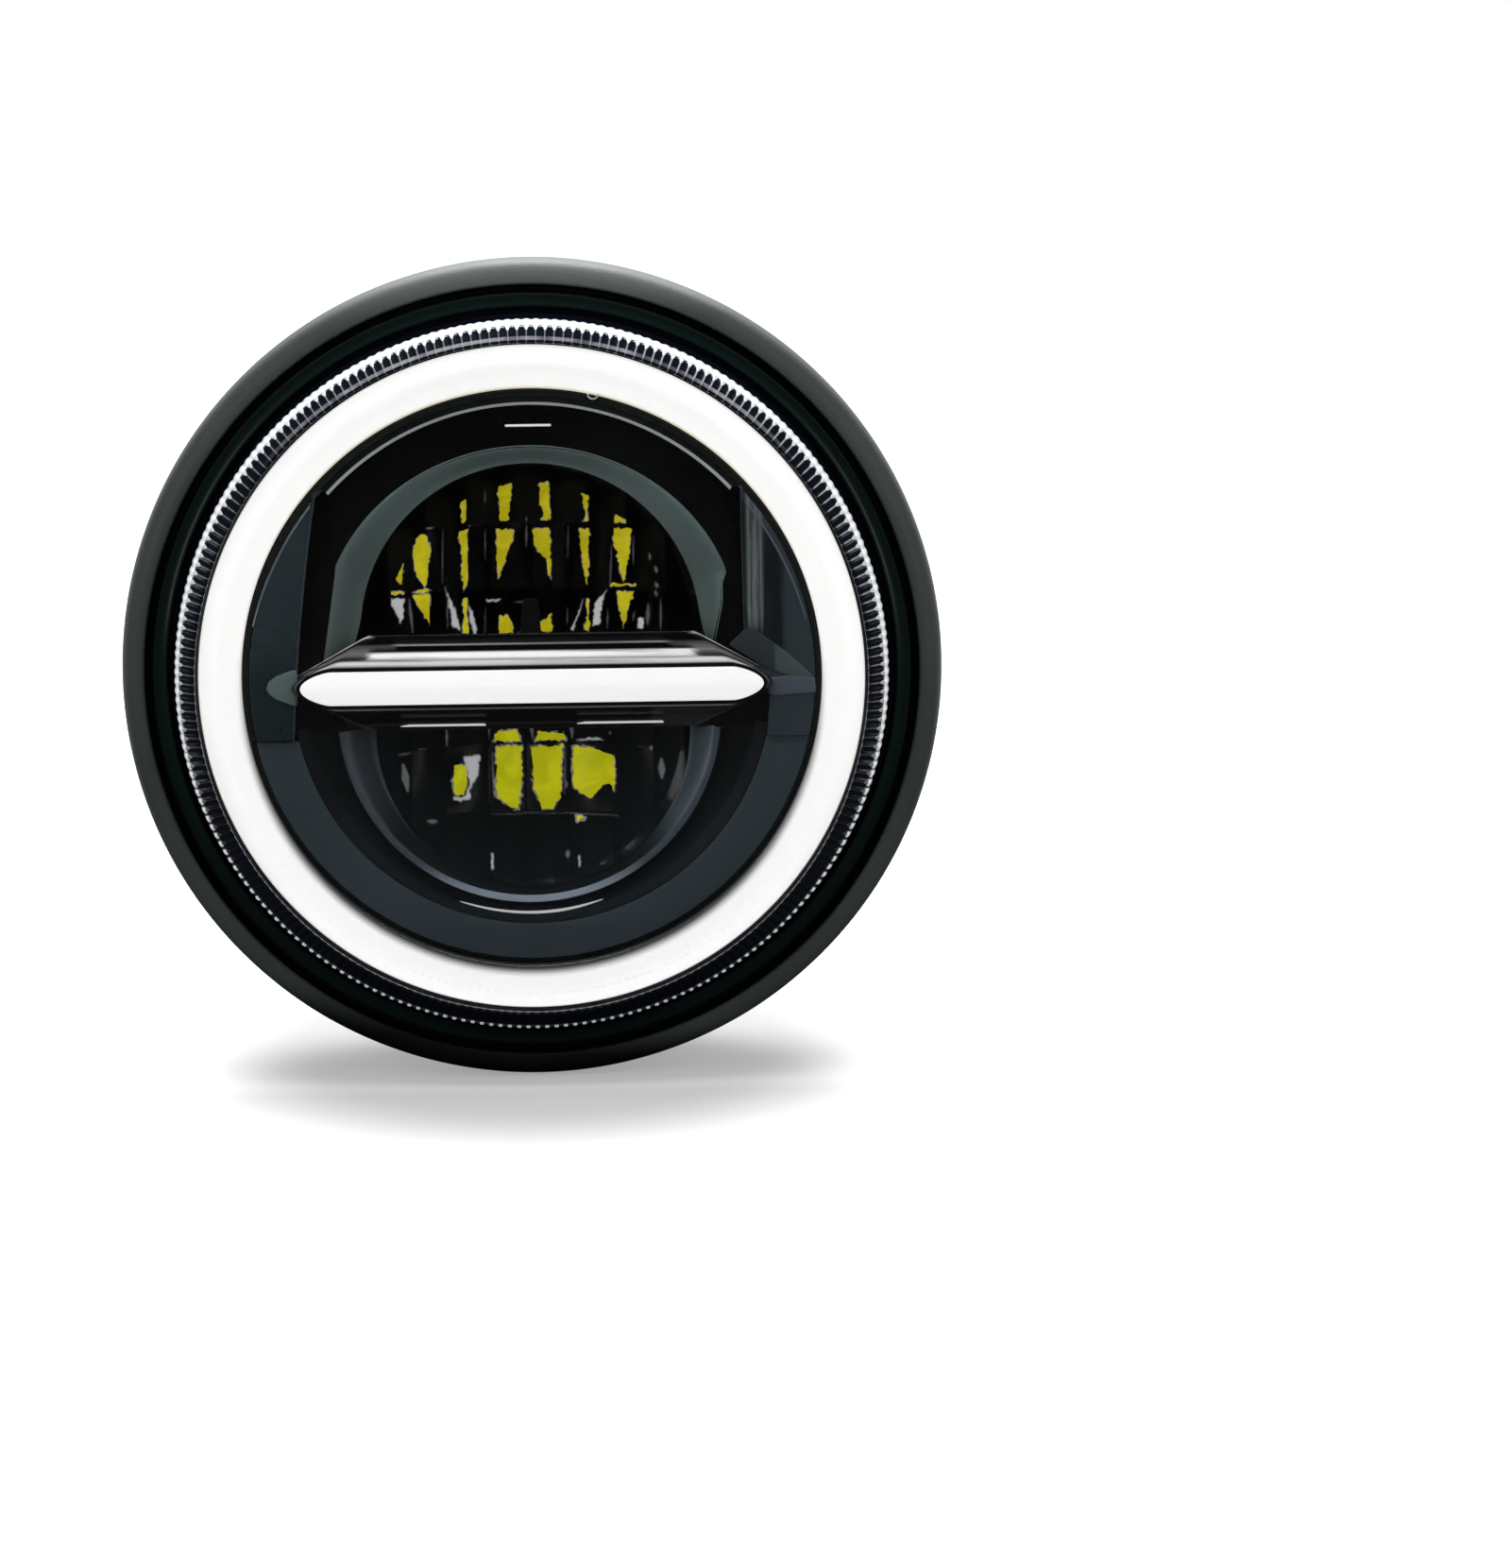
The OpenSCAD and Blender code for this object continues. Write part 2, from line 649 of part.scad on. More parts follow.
module rim_hook() {
    foot_low = tongue_top - hook_t - 2;
    foot_top = tongue_top + 1.2;
    color([0.55, 0.56, 0.58]) optic() {
        translate([-hook_w / 2, foot_low, retainer_d - hook_t]) cube([hook_w, foot_top - foot_low, hook_t]);
        translate([-hook_w / 2, tongue_top - hook_t, -hook_back - hook_t / 2])
            cube([hook_w, hook_t, hook_back + retainer_d + hook_t / 2]);
        translate([-hook_w / 2, tongue_top - hook_t, -hook_back - hook_t / 2])
            cube([hook_w, hook_drop + hook_t, hook_t]);
        translate([0, hook_z, -hook_back]) rotate([0, 90, 0])
            cylinder(r = hook_rod_r, h = hook_rod_l, center = true);
    }
}

// One ear of the hook's saddle, drawn at the rod's axis and open to the front and upwards.
module saddle_ear(x0, x1) {
    outer = hook_rod_r + hook_gap + saddle_wall;
    translate([x0, hook_z, -hook_back]) difference() {
        union() {
            rotate([0, 90, 0]) cylinder(r = outer, h = x1 - x0);
            translate([0, -outer, -outer - 2])
                cube([x1 - x0, outer + hook_head + hook_rod_r + 0.8, outer + 2]);
        }
        translate([-eps, 0, 0]) rotate([0, 90, 0]) cylinder(r = hook_rod_r + hook_gap, h = big);
        translate([-eps, 0, 0]) rotate([-25, 0, 0])
            translate([0, -hook_rod_r - hook_gap, 0]) cube([big, 2 * (hook_rod_r + hook_gap), big]);
    }
}

// Turns its children, drawn along z, to point outwards along one side fixing.
module at_side(side) {
    translate([0, 0, -side_back]) rotate([0, side * 90, 0]) children();
}

// A ball with flats at the sides.
module ball(r, x) {
    intersection() {
        sphere(r, $fn = 128);
        cube([2 * x, big, big], center = true);
    }
}

module bucket_shell() {
    color([0.07, 0.07, 0.075]) optic() difference() {
        union() {
            difference() {
                union() {
                    ball(bucket_r, flat_x);
                    at_port() cylinder(r = port_seat_r, h = port_seat_d);
                }
                difference() {
                    union() {
                        ball(bucket_in, flat_x - flat_wall);
                        at_port() cylinder(r = grommet_r + grommet_lip + grommet_room, h = port_seat_d);
                    }
                    at_port() translate([0, 0, port_seat_d - port_wall])
                        cylinder(r = port_seat_r + 1, h = big);
                }
            }
            intersection() {
                ball(bucket_in + bucket_wall / 2, flat_x - flat_wall / 2);
                union() {
                    for (side = [-1, 1]) at_rim_screw(side)
                        translate([0, 0, rim_boss_in]) cylinder(r = rim_boss_r, h = 20);
                    saddle_ear(ear_in, hook_rod_l / 2 + 1);
                    mirror([1, 0, 0]) saddle_ear(ear_in, hook_rod_l / 2 + 1);
                }
            }
        }
        for (side = [-1, 1]) at_side(side) side_recess_hole();
        for (side = [-1, 1]) at_rim_screw(side) {
            cylinder(r = rim_insert_r, h = rim_seat);
            cylinder(r = rim_head_r + rim_head_gap, h = big);
        }
        at_port() translate([0, 0, port_seat_d]) cylinder(r = port_seat_r, h = big);
        at_port() cylinder(r = grommet_r, h = big);
        translate([-big / 2, -big / 2, -mouth_back]) cube(big);
    }
}

// The hole through which a side bolt and its spacer reach the insert.
module side_recess_hole() {
    translate([0, 0, side_face_x]) cylinder(r = side_insert_r + side_recess_gap, h = big);
}

module side_boss(side) {
    color([0.07, 0.07, 0.075]) optic() difference() {
        intersection() {
            ball(bucket_in, flat_x - flat_wall);
            at_side(side) translate([0, 0, side_in]) cylinder(r = side_boss_r, h = big);
        }
        at_side(side) translate([0, 0, side_in + side_floor]) cylinder(r = side_insert_r, h = big);
        at_side(side) side_recess_hole();
    }
}

module side_insert(side) {
    color([0.62, 0.63, 0.65]) optic() at_side(side) translate([0, 0, side_in + side_floor]) difference() {
        cylinder(r = side_insert_r, h = side_thread_l);
        translate([0, 0, -eps]) cylinder(r = side_thread_r, h = side_thread_l + 2 * eps);
    }
}

module rim_insert(side) {
    color([0.72, 0.58, 0.28]) optic() at_rim_screw(side) translate([0, 0, rim_boss_in]) difference() {
        cylinder(r = rim_insert_r, h = rim_insert_l);
        translate([0, 0, -eps]) cylinder(r = rim_screw_r + thread_gap, h = rim_insert_l + 2 * eps);
    }
}

module rim_screw(side) {
    color([0.12, 0.12, 0.13]) optic() at_rim_screw(side) difference() {
        union() {
            translate([0, 0, rim_boss_in - rim_tip]) cylinder(r = rim_screw_r, h = rim_insert_l + rim_tip);
            translate([0, 0, rim_seat]) cylinder(r = rim_head_r, h = rim_head_h);
        }
        translate([0, 0, rim_seat + rim_head_h - 1.4]) cylinder(r = 2, h = 2, $fn = 6);
    }
}

module cable_grommet() {
    color([0.04, 0.04, 0.04]) optic() at_port() rotate_extrude() translate([grommet_bore_r, 0]) {
        translate([0, port_seat_d]) square([grommet_r + grommet_lip - grommet_bore_r, grommet_lip_t]);
        translate([0, port_seat_d - port_wall - eps])
            square([grommet_r - grommet_bore_r, port_wall + 2 * eps]);
        translate([0, port_seat_d - port_wall - grommet_lip_t])
            square([grommet_r + grommet_lip - grommet_bore_r, grommet_lip_t]);
    }
}

module lens() {
    inner_dome = dome_r - lens_wall;
    color([0.8, 0.85, 0.88, 0.35]) optic() {
        rotate_extrude($fn = 128) {
            difference() {
                polygon([[0, seat_d], [lens_side_r, seat_d], [lens_side_r, lens_front_d], [crown_r, crown_d],
                    [face_r, face_d], [0, face_d]]);
                polygon([[0, seat_d - eps], [lens_side_r - lens_wall, seat_d - eps],
                    [lens_side_r - lens_wall, lens_front_d], [crown_r - lens_wall, crown_d - 1],
                    [face_r - lens_wall * 0.4, face_d - lens_wall], [0, face_d - lens_wall]]);
                translate([0, lens_reach - dome_r]) intersection() {
                    circle(inner_dome, $fn = 256);
                    square([face_r - lens_wall * 0.4, big * 3]);
                }
            }
            intersection() {
                translate([0, lens_reach - dome_r]) difference() {
                    circle(dome_r, $fn = 256);
                    circle(inner_dome, $fn = 256);
                }
                translate([0, face_d - eps]) square([face_r, sag + 1]);
            }
            translate([lens_side_r - lens_wall, seat_d])
                square([lens_flange_r - lens_side_r + lens_wall, lens_flange_t]);
            translate([groove_r - rib_w / 2, seat_d - rib_h]) square([rib_w, rib_h + eps]);
        }
    }
}

module lens_seal() {
    color([0.85, 0.85, 0.82]) optic()
        ring(groove_r - rib_w / 2, groove_r + rib_w / 2, seat_d - rib_h - seal_t, seat_d - rib_h);
}

module lamp_housing() {
    slope = (housing_r - rear_r) / (rear_back - cone_back);
    color([0.16, 0.17, 0.18]) optic() difference() {
        union() {
            difference() {
                rotate_extrude() polygon([[0, -rear_back], [rear_r, -rear_back], [housing_r, -cone_back],
                    [housing_r, seat_back_d], [seat_r, seat_back_d], [seat_r, seat_d], [0, seat_d]]);
                rotate_extrude() polygon([[0, rear_floor],
                    [rear_r + rear_wall * slope - housing_wall, rear_floor],
                    [housing_in - ledge_w, -cone_back - ledge_w], [housing_in - ledge_w, ledge_d],
                    [housing_in, ledge_d], [housing_in, seat_d + eps], [0, seat_d + eps]]);
            }
            intersection() {
                translate([0, 0, -gland_back]) cylinder(r = fin_r, h = fin_l + eps);
                for (i = [1:floor(fin_r / fin_pitch)], side = [-1, 1])
                    translate([side * i * fin_pitch - fin_t / 2, -big / 2, -gland_back])
                        cube([fin_t, big, fin_l + eps]);
            }
            for (a = post_angles) rotate([0, 0, a]) {
                translate([post_r, 0, 0]) disc(post_w, rear_floor - eps, -spreader_back - spreader_t);
                translate([standoff_r, 0, 0]) disc(standoff_w, rear_floor - eps, driver_d);
            }
        }
        disc(cover_r + 1.5, -gland_back - eps, -rear_back);
        translate([0, gland_z, 0]) disc(gland_r, -gland_back - eps, rear_floor + eps);
        disc(cover_hole_r, -rear_back - eps, rear_floor + eps);
        for (a = cover_screw_angles) rotate([0, 0, a]) translate([cover_screw_pr, 0, 0])
            disc(cover_screw_r + thread_gap, -rear_back - eps, rear_floor + eps);
        for (a = post_angles) rotate([0, 0, a]) translate([post_r, 0, 0])
            disc(spreader_screw_r + thread_gap, -spreader_back - spreader_t - spreader_screw_l - 1, 0);
        ring(groove_r - rib_w / 2, groove_r + rib_w / 2, seat_d - rib_h - seal_t, seat_d + eps);
    }
}

module rear_cover() {
    color([0.06, 0.06, 0.065]) optic() difference() {
        disc(cover_r, cover_d, -rear_back);
        for (a = cover_screw_angles) rotate([0, 0, a]) translate([cover_screw_pr, 0, 0])
            disc(cover_screw_r + thread_gap, cover_d - eps, -rear_back + eps);
        translate(vent_at) disc(vent_stem_r, cover_d - eps, -rear_back + eps);
    }
}

module cover_screws() {
    color([0.6, 0.6, 0.62]) optic() for (a = cover_screw_angles) rotate([0, 0, a])
        translate([cover_screw_pr, 0, cover_d]) difference() {
            union() {
                disc(cover_screw_r, 0, cover_t + rear_wall - 0.5);
                disc(cover_screw_r + 1.1, -1.6, 0);
            }
            translate([0, 0, -1.7]) cylinder(r = 1.1, h = 1, $fn = 6);
        }
}

module breather_vent() {
    color([0.25, 0.25, 0.26]) optic() translate(vent_at) {
        disc(vent_stem_r, cover_d, -rear_back);
        disc(vent_stem_r + 2, cover_d - 2.5, cover_d);
    }
}

module cable_gland() {
    color([0.05, 0.05, 0.05]) optic() translate([0, gland_z, 0]) difference() {
        union() {
            disc(gland_r, gland_nose_l - gland_back, rear_floor);
            translate([0, 0, -gland_back]) cylinder(r1 = cord_d / 2 + 1, r2 = gland_r, h = gland_nose_l);
        }
        disc(cord_d / 2, rear_floor - 2, rear_floor + eps);
    }
}

module halo_diffuser() {
    color([0.97, 0.97, 0.95]) optic() rotate_extrude($fn = 128) translate([halo_in_r, halo_d - halo_t])
        square([halo_out_r - halo_in_r, halo_t]);
}

module halo_board() {
    color([0.85, 0.86, 0.84]) optic()
        ring(halo_mid_r - halo_board_w / 2, halo_mid_r + halo_board_w / 2, shelf_d, shelf_d + board_t);
}

// One small LED that stands on a board.
module small_led(h) {
    translate([-small_led_w / 2, -small_led_w / 2, 0]) cube([small_led_w, small_led_w, h]);
}

module halo_leds() {
    color([0.9, 0.85, 0.4]) optic() for (i = [0:halo_leds_n - 1])
        rotate([0, 0, (i + 0.5) * 360 / halo_leds_n])
            translate([halo_mid_r, 0, shelf_d + board_t]) small_led(1);
}

// A half-round block, flat side towards the bar.
module half_block(r, z, d0, d1, up) {
    intersection() {
        translate([0, z, d0]) cylinder(r = r, h = d1 - d0);
        if (up) above(core_top + 0.2);
        else below(core_low - 0.2);
    }
}

module inner_bezel() {
    back = flare_d;
    face_back = bezel_d - bezel_t;
    color([0.11, 0.13, 0.15]) optic() difference() {
        union() {
            disc(bezel_r, face_back, bezel_d);
            ring(bezel_r - bezel_wall, bezel_r, shelf_d - bezel_wall, bezel_d);
            ring(bezel_r - bezel_wall, skirt_r, shelf_d - bezel_wall, shelf_d);
            ring(skirt_r - bezel_wall, skirt_r, ledge_d, shelf_d);
            half_block(up_flare_r + bezel_wall, up_flare_z, back, bezel_d - eps, true);
            half_block(lip_r + bezel_wall, lip_z, back, bezel_d - eps, false);
            for (side = [-1, 1]) intersection() {
                disc(bezel_r - 0.6, bezel_d - eps, bezel_d + panel_h);
                translate([side * (window_x + big / 2), (panel_low + panel_top) / 2, 0])
                    cube([big, panel_top - panel_low, big], center = true);
            }
        }
        intersection() {
            translate([0, window_top - window_r, bezel_d - window_sink]) cylinder(r = window_r, h = 10);
            translate([-window_x, moat_top, 0]) cube([2 * window_x, big, big]);
        }
        translate([0, bar_z, frame_base_d]) linear_extrude(big) frame_outline(frame_gap);
        half_block(up_flare_r, up_flare_z, bezel_d - window_sink - 3, bezel_d + 5, true);
        intersection() {
            translate([0, up_z, back - eps])
                cylinder(r1 = up_r, r2 = up_r + 5, h = bezel_d - window_sink - 3 - back + 2 * eps);
            above(core_top + 0.2);
        }
        intersection() {
            difference() {
                translate([0, moat_z, face_back + 0.8])
                    cylinder(r1 = moat_r - 4, r2 = moat_r + 0.3, h = bezel_t);
                translate([0, lip_z, 0]) cylinder(r = lip_r, h = big);
            }
            below(moat_top);
        }
        half_block(lip_r - lip_w, lip_z, face_back - 1.5, bezel_d + 5, false);
        intersection() {
            translate([0, low_z, back - eps]) cylinder(r1 = low_r, r2 = low_r + 0.6, h = 15);
            below(core_low - 0.2);
        }
    }
}

// Outline of the lit bar, grown by margin: a strip with blunt, three-sided ends.
module bar_outline(margin) {
    x = bar_l / 2 + margin;
    h = bar_h / 2 + margin;
    right = [[x - bar_end, -h], [x - bar_end / 3, -h * 0.75], [x, -h * 0.3], [x, h * 0.3],
        [x - bar_end / 3, h * 0.75], [x - bar_end, h]];
    polygon(concat(right, [for (p = right) [-p[0], -p[1]]]));
}

// Outline of the frame's base, grown by margin: a long hexagon with its tips at the sides.
module frame_outline(margin) {
    x = frame_flat / 2 + margin;
    h = frame_h / 2 + margin;
    tip = frame_l / 2 + 2 * margin;
    polygon([[-tip, 0], [-x, h], [x, h], [tip, 0], [x, -h], [-x, -h]]);
}

module bar_frame() {
    color([0.75, 0.77, 0.8]) optic() translate([0, bar_z, 0]) difference() {
        hull() {
            translate([0, 0, frame_base_d]) linear_extrude(0.6) frame_outline(0);
            translate([0, 0, bar_d - 1.2]) linear_extrude(0.6) bar_outline(frame_border);
        }
        translate([0, 0, frame_base_d - 1]) linear_extrude(10) bar_outline(0);
    }
}

module bar_diffuser() {
    color([0.97, 0.97, 0.97]) optic() translate([0, bar_z, bar_d - bar_t])
        linear_extrude(bar_t) bar_outline(0);
}

module bar_board() {
    color([0.85, 0.86, 0.84]) optic() translate([-bar_l / 2 + 4, bar_z - bar_h / 2 + 1.5, frame_base_d])
        cube([bar_l - 8, bar_h - 3, board_t]);
}

module bar_leds() {
    color([0.9, 0.85, 0.4]) optic() for (i = [-5:5])
        translate([i * bar_l / 12, bar_z, frame_base_d + board_t]) small_led(0.7);
}

// A half bowl with upright facet ribs and a flange at its opening.
module bowl(r, opening, z, centre_d, up) {
    intersection() {
        union() {
            difference() {
                translate([0, z, centre_d]) sphere(r + bowl_wall);
                translate([0, z, centre_d]) sphere(r);
                translate([-big / 2, -big / 2, bowl_d]) cube(big);
            }
            intersection() {
                difference() {
                    translate([0, z, centre_d]) sphere(r + eps);
                    translate([0, z, centre_d]) sphere(r - facet_h);
                    translate([-big / 2, -big / 2, bowl_d]) cube(big);
                }
                for (i = [-3:3]) translate([i * rib_pitch - 0.5, -big / 2, -big / 2]) cube([1, big, big]);
            }
            difference() {
                translate([0, z, bowl_d]) cylinder(r = opening + bowl_margin + 3.5, h = bowl_wall);
                translate([0, z, bowl_d - eps]) cylinder(r = opening + eps, h = bowl_wall + 2 * eps);
            }
        }
        if (up) above(core_top);
        else below(core_low);
    }
}

module upper_reflector() {
    color([0.45, 0.46, 0.48]) optic() bowl(up_bowl_r, up_r, up_z, up_bowl_d, true);
}

module lower_reflector() {
    color([0.45, 0.46, 0.48]) optic() bowl(low_bowl_r, low_r, low_z, low_bowl_d, false);
}

module heat_spreader() {
    color([0.7, 0.71, 0.73]) optic() difference() {
        union() {
            disc(spreader_r, -spreader_back - spreader_t, -spreader_back);
            translate([-core_w / 2, core_low, -spreader_back - eps])
                cube([core_w, 2 * core_half, core_front + spreader_back + eps]);
        }
        for (a = post_angles) rotate([0, 0, a]) translate([post_r, 0, 0])
            disc(spreader_screw_r + thread_gap, -spreader_back - spreader_t - eps, 0);
    }
}

module spreader_screws() {
    color([0.6, 0.6, 0.62]) optic() for (a = post_angles) rotate([0, 0, a]) translate([post_r, 0, 0]) {
        disc(spreader_screw_r, -spreader_back - spreader_t - spreader_screw_l, -spreader_back);
        disc(1.8 * spreader_screw_r, -spreader_back, -spreader_back + 0.9 * spreader_screw_r);
    }
}

module led_board(z) {
    translate([-led_board_w / 2, z, led_board_d]) cube([led_board_w, board_t, led_board_l]);
}

module upper_led_board() {
    color([0.85, 0.86, 0.84]) optic() led_board(core_top);
}

module lower_led_board() {
    color([0.85, 0.86, 0.84]) optic() led_board(core_low - board_t);
}

module emitters(z) {
    for (x = [-9, 0, 9], d = [emitter_edge, led_board_l - emitter_edge - emitter])
        translate([x - emitter / 2, z, led_board_d + d])
            cube([emitter, emitter_h, emitter]);
}

module upper_emitters() {
    color([0.85, 0.75, 0.1]) optic() emitters(core_top + board_t);
}

module lower_emitters() {
    color([0.85, 0.75, 0.1]) optic() emitters(core_low - board_t - emitter_h);
}

module glare_shield() {
    color([0.03, 0.03, 0.03]) optic() translate([0, core_top, core_front - 2]) linear_extrude(1.6)
        polygon([[-shield_w / 2, 0], [shield_w / 2, 0], [shield_w / 2, shield_h * 0.55],
            [shield_w * 0.2, shield_h * 0.8], [shield_w * 0.12, shield_h], [-shield_w * 0.12, shield_h],
            [-shield_w * 0.2, shield_h * 0.8], [-shield_w / 2, shield_h * 0.55]]);
}

module driver_board() {
    color([0.05, 0.3, 0.15]) optic() disc(driver_r, driver_d, driver_d + board_t);
}

module driver_parts() {
    top = driver_d + board_t;
    color([0.15, 0.15, 0.16]) optic() {
        for (i = [0, 1]) translate([(i - 2) * 2.7 * cap_r, 3 * cap_r + i * cap_r, top])
            cylinder(r = cap_r, h = cap_h);
        translate([4 * choke_w, 2.5 * choke_w, top]) ring(choke_r, choke_r + choke_w, 0, cap_h);
        for (i = [-1:1]) translate([(1.75 * i - 1) * chip_w, -2.25 * chip_w, top])
            cube([chip_w, 0.75 * chip_w, chip_h]);
        translate([-controller_w / 3, -controller_w / 3, top]) cube([controller_w, controller_w, chip_h]);
    }
}

// Sweeps a tube of round section along a list of points.
function unit(v) = v / norm(v);
function bend(p, n, i) = unit(p[min(i + 1, n)] - p[max(i - 1, 0)]);
// Catmull-Rom point at u along the list p
function curve(p, u) = let (n = len(p) - 1, i = min(floor(u), n - 1), t = u - i,
    a = p[max(i - 1, 0)], b = p[i], c = p[i + 1], d = p[min(i + 2, n)])
    0.5 * ((2 * b) + (c - a) * t + (2 * a - 5 * b + 4 * c - d) * t * t + (3 * b - a - 3 * c + d) * t * t * t);
function smooth(p, steps) = [for (k = [0:steps * (len(p) - 1)]) curve(p, k / steps)];

module tube(route, r, steps, sides) {
    p = smooth(route, steps);
    n = len(p) - 1;
    rings = [for (i = [0:n]) let (t = bend(p, n, i), u = unit(cross(t, [0.3, 0.2, 1])), v = cross(t, u))
        for (k = [0:sides - 1]) p[i] + r * (cos(k * 360 / sides) * u + sin(k * 360 / sides) * v)];
    polyhedron(points = rings, faces = concat(
        [[for (k = [0:sides - 1]) k]],
        [for (i = [0:n - 1], k = [0:sides - 1]) [i * sides + k, (i + 1) * sides + k,
            (i + 1) * sides + (k + 1) % sides, i * sides + (k + 1) % sides]],
        [[for (k = [sides - 1:-1:0]) n * sides + k]]));
}

module lamp_lead() {
    color([0.04, 0.04, 0.04]) tube(lead_in, cord_d / 2, 2, 10);
}

module cord_lead() {
    color([0.04, 0.04, 0.04]) tube(lead_out, cord_d / 2, 2, 10);
}

module cord_coil() {
    color([0.04, 0.04, 0.04]) translate([coil_x, coil_y, floor_z])
        ring(coil_r - cord_d / 2 - 0.1, coil_r + cord_d / 2 + 0.1, 0, coil_top - floor_z);
}

module cord_tail() {
    color([0.04, 0.04, 0.04]) tube(tail, cord_d / 2, 2, 10);
}

module plug_body() {
    color([0.06, 0.06, 0.065]) translate([plug_x - plug_w / 2, plug_y, floor_z]) difference() {
        cube([plug_w, plug_l, plug_h]);
        for (p = blade_places) blade_slot(p);
    }
}

module blade_slot(p) {
    upright = p[0] != plug_w / 2;
    w = upright ? blade_t : blade_w;
    h = upright ? blade_w : blade_t;
    translate([p[0] - w / 2, plug_l - blade_root, p[1] - h / 2]) cube([w, blade_l + blade_root, h]);
}

module plug_blades() {
    color([0.8, 0.8, 0.8]) translate([plug_x - plug_w / 2, plug_y, floor_z])
        for (p = blade_places) blade_slot(p);
}

bucket_shell();
side_boss(-1);  // side_boss_left
side_boss(1);  // side_boss_right
side_insert(-1);  // side_insert_left
side_insert(1);  // side_insert_right
rim_insert(-1);  // rim_insert_left
rim_insert(1);  // rim_insert_right
cable_grommet();
trim_ring();
surround_ring();
rim_gasket();
retaining_ring();
ring_screws();
rim_hook();
rim_screw(-1);  // rim_screw_left
rim_screw(1);  // rim_screw_right
lens();
lens_seal();
lamp_housing();
rear_cover();
cover_screws();
breather_vent();
cable_gland();
halo_diffuser();
halo_board();
halo_leds();
inner_bezel();
bar_frame();
bar_diffuser();
bar_board();
bar_leds();
upper_reflector();
lower_reflector();
heat_spreader();
spreader_screws();
upper_led_board();
lower_led_board();
upper_emitters();
lower_emitters();
glare_shield();
driver_board();
driver_parts();
lamp_lead();
cord_lead();
cord_coil();
cord_tail();
plug_body();
plug_blades();
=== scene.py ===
"""Looks of the round driving light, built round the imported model.

Lengths are in millimetres in the lamp's own frame: x to the right, z up, and depth d in front of
the rim plane, towards the viewer. at() turns them into metres in the model's frame.
"""

import math

import bmesh
import bpy
from mathutils import Matrix, Quaternion, Vector, noise


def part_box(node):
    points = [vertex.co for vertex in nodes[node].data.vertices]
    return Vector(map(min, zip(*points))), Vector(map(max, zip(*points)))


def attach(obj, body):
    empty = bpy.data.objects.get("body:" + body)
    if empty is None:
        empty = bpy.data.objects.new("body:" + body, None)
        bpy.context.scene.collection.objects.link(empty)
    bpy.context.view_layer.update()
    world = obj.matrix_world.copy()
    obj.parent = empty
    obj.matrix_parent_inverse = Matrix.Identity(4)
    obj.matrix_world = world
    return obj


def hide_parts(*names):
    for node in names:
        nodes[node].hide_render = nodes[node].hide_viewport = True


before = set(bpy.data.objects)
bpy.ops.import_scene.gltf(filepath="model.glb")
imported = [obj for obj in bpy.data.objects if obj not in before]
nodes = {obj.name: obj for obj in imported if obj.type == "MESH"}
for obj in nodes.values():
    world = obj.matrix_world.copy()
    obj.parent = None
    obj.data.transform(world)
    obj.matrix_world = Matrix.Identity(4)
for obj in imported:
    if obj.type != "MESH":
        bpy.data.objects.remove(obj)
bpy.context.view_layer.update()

MM = 0.001
SKIRT = 8  # length of the trim ring's skirt behind the rim plane
RIM_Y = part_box("trim_ring")[1].y / MM - SKIRT
FLOOR_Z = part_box("trim_ring")[0].z / MM


def at(x, z, d):
    return Vector((x * MM, (RIM_Y - d) * MM, z * MM))


# ---------------------------------------------------------------- camera


def make_camera():
    """A long lens a little above the light, which it sees left of the middle and above it."""
    distance, elevation, roll = 1.5, math.radians(7.0), math.radians(0.94)
    aim_right, aim_down, side = math.radians(2.038), math.radians(1.0735), math.radians(0.57)
    data = bpy.data.cameras.new("camera")
    data.lens = 143.7
    data.clip_start, data.clip_end = 0.05, 50
    camera = bpy.data.objects.new("camera", data)
    bpy.context.scene.collection.objects.link(camera)
    level = math.cos(elevation)
    back = Vector((math.sin(side) * level, -math.cos(side) * level, math.sin(elevation)))
    camera.location = at(0, 0, 0) + back * distance
    seen = Vector((-math.tan(aim_right), math.tan(aim_down), -1)).normalized()
    turn = seen.rotation_difference(Vector((0, 0, -1)))
    camera.rotation_mode = "QUATERNION"
    look = (-back).to_track_quat("-Z", "Y")
    camera.rotation_quaternion = look @ Quaternion((0, 0, 1), -roll) @ turn
    bpy.context.scene.camera = camera


make_camera()

# ---------------------------------------------------------------- mesh tools


def add_object(name, mesh, finish, body="lamp"):
    """Adds a mesh in a finish as a piece of a body."""
    piece = bpy.data.objects.new(name, mesh)
    bpy.context.scene.collection.objects.link(piece)
    mesh.materials.append(finish.material)
    mesh.shade_smooth()
    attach(piece, body)
    return piece


def finish_mesh(bm, name, sharp_deg=40):
    """A mesh from bm, with its faces turned outwards and the edges over sharp_deg kept sharp."""
    bmesh.ops.remove_doubles(bm, verts=bm.verts, dist=1e-7)
    bmesh.ops.recalc_face_normals(bm, faces=bm.faces)
    limit = math.radians(sharp_deg)
    for edge in bm.edges:
        if len(edge.link_faces) == 2 and edge.calc_face_angle(0) > limit:
            edge.smooth = False
    mesh = bpy.data.meshes.new(name)
    bm.to_mesh(mesh)
    bm.free()
    return mesh


def arc(cx, cy, r, a0, a1, steps):
    """Points on a circle about (cx, cy), from angle a0 to a1 in degrees."""
    angles = [math.radians(a0 + (a1 - a0) * i / steps) for i in range(steps + 1)]
    return [(cx + r * math.cos(a), cy + r * math.sin(a)) for a in angles]


def angle_at(z, z_centre, r):
    """The angle in degrees at which a circle reaches height z on its right side."""
    return math.degrees(math.asin((z - z_centre) / r))


def upper_arc(x, z, r, angle, steps=120):
    """The top of a circle about (x, z), from angle on its right to the same height on its left."""
    return arc(x, z, r, angle, 180 - angle, steps)


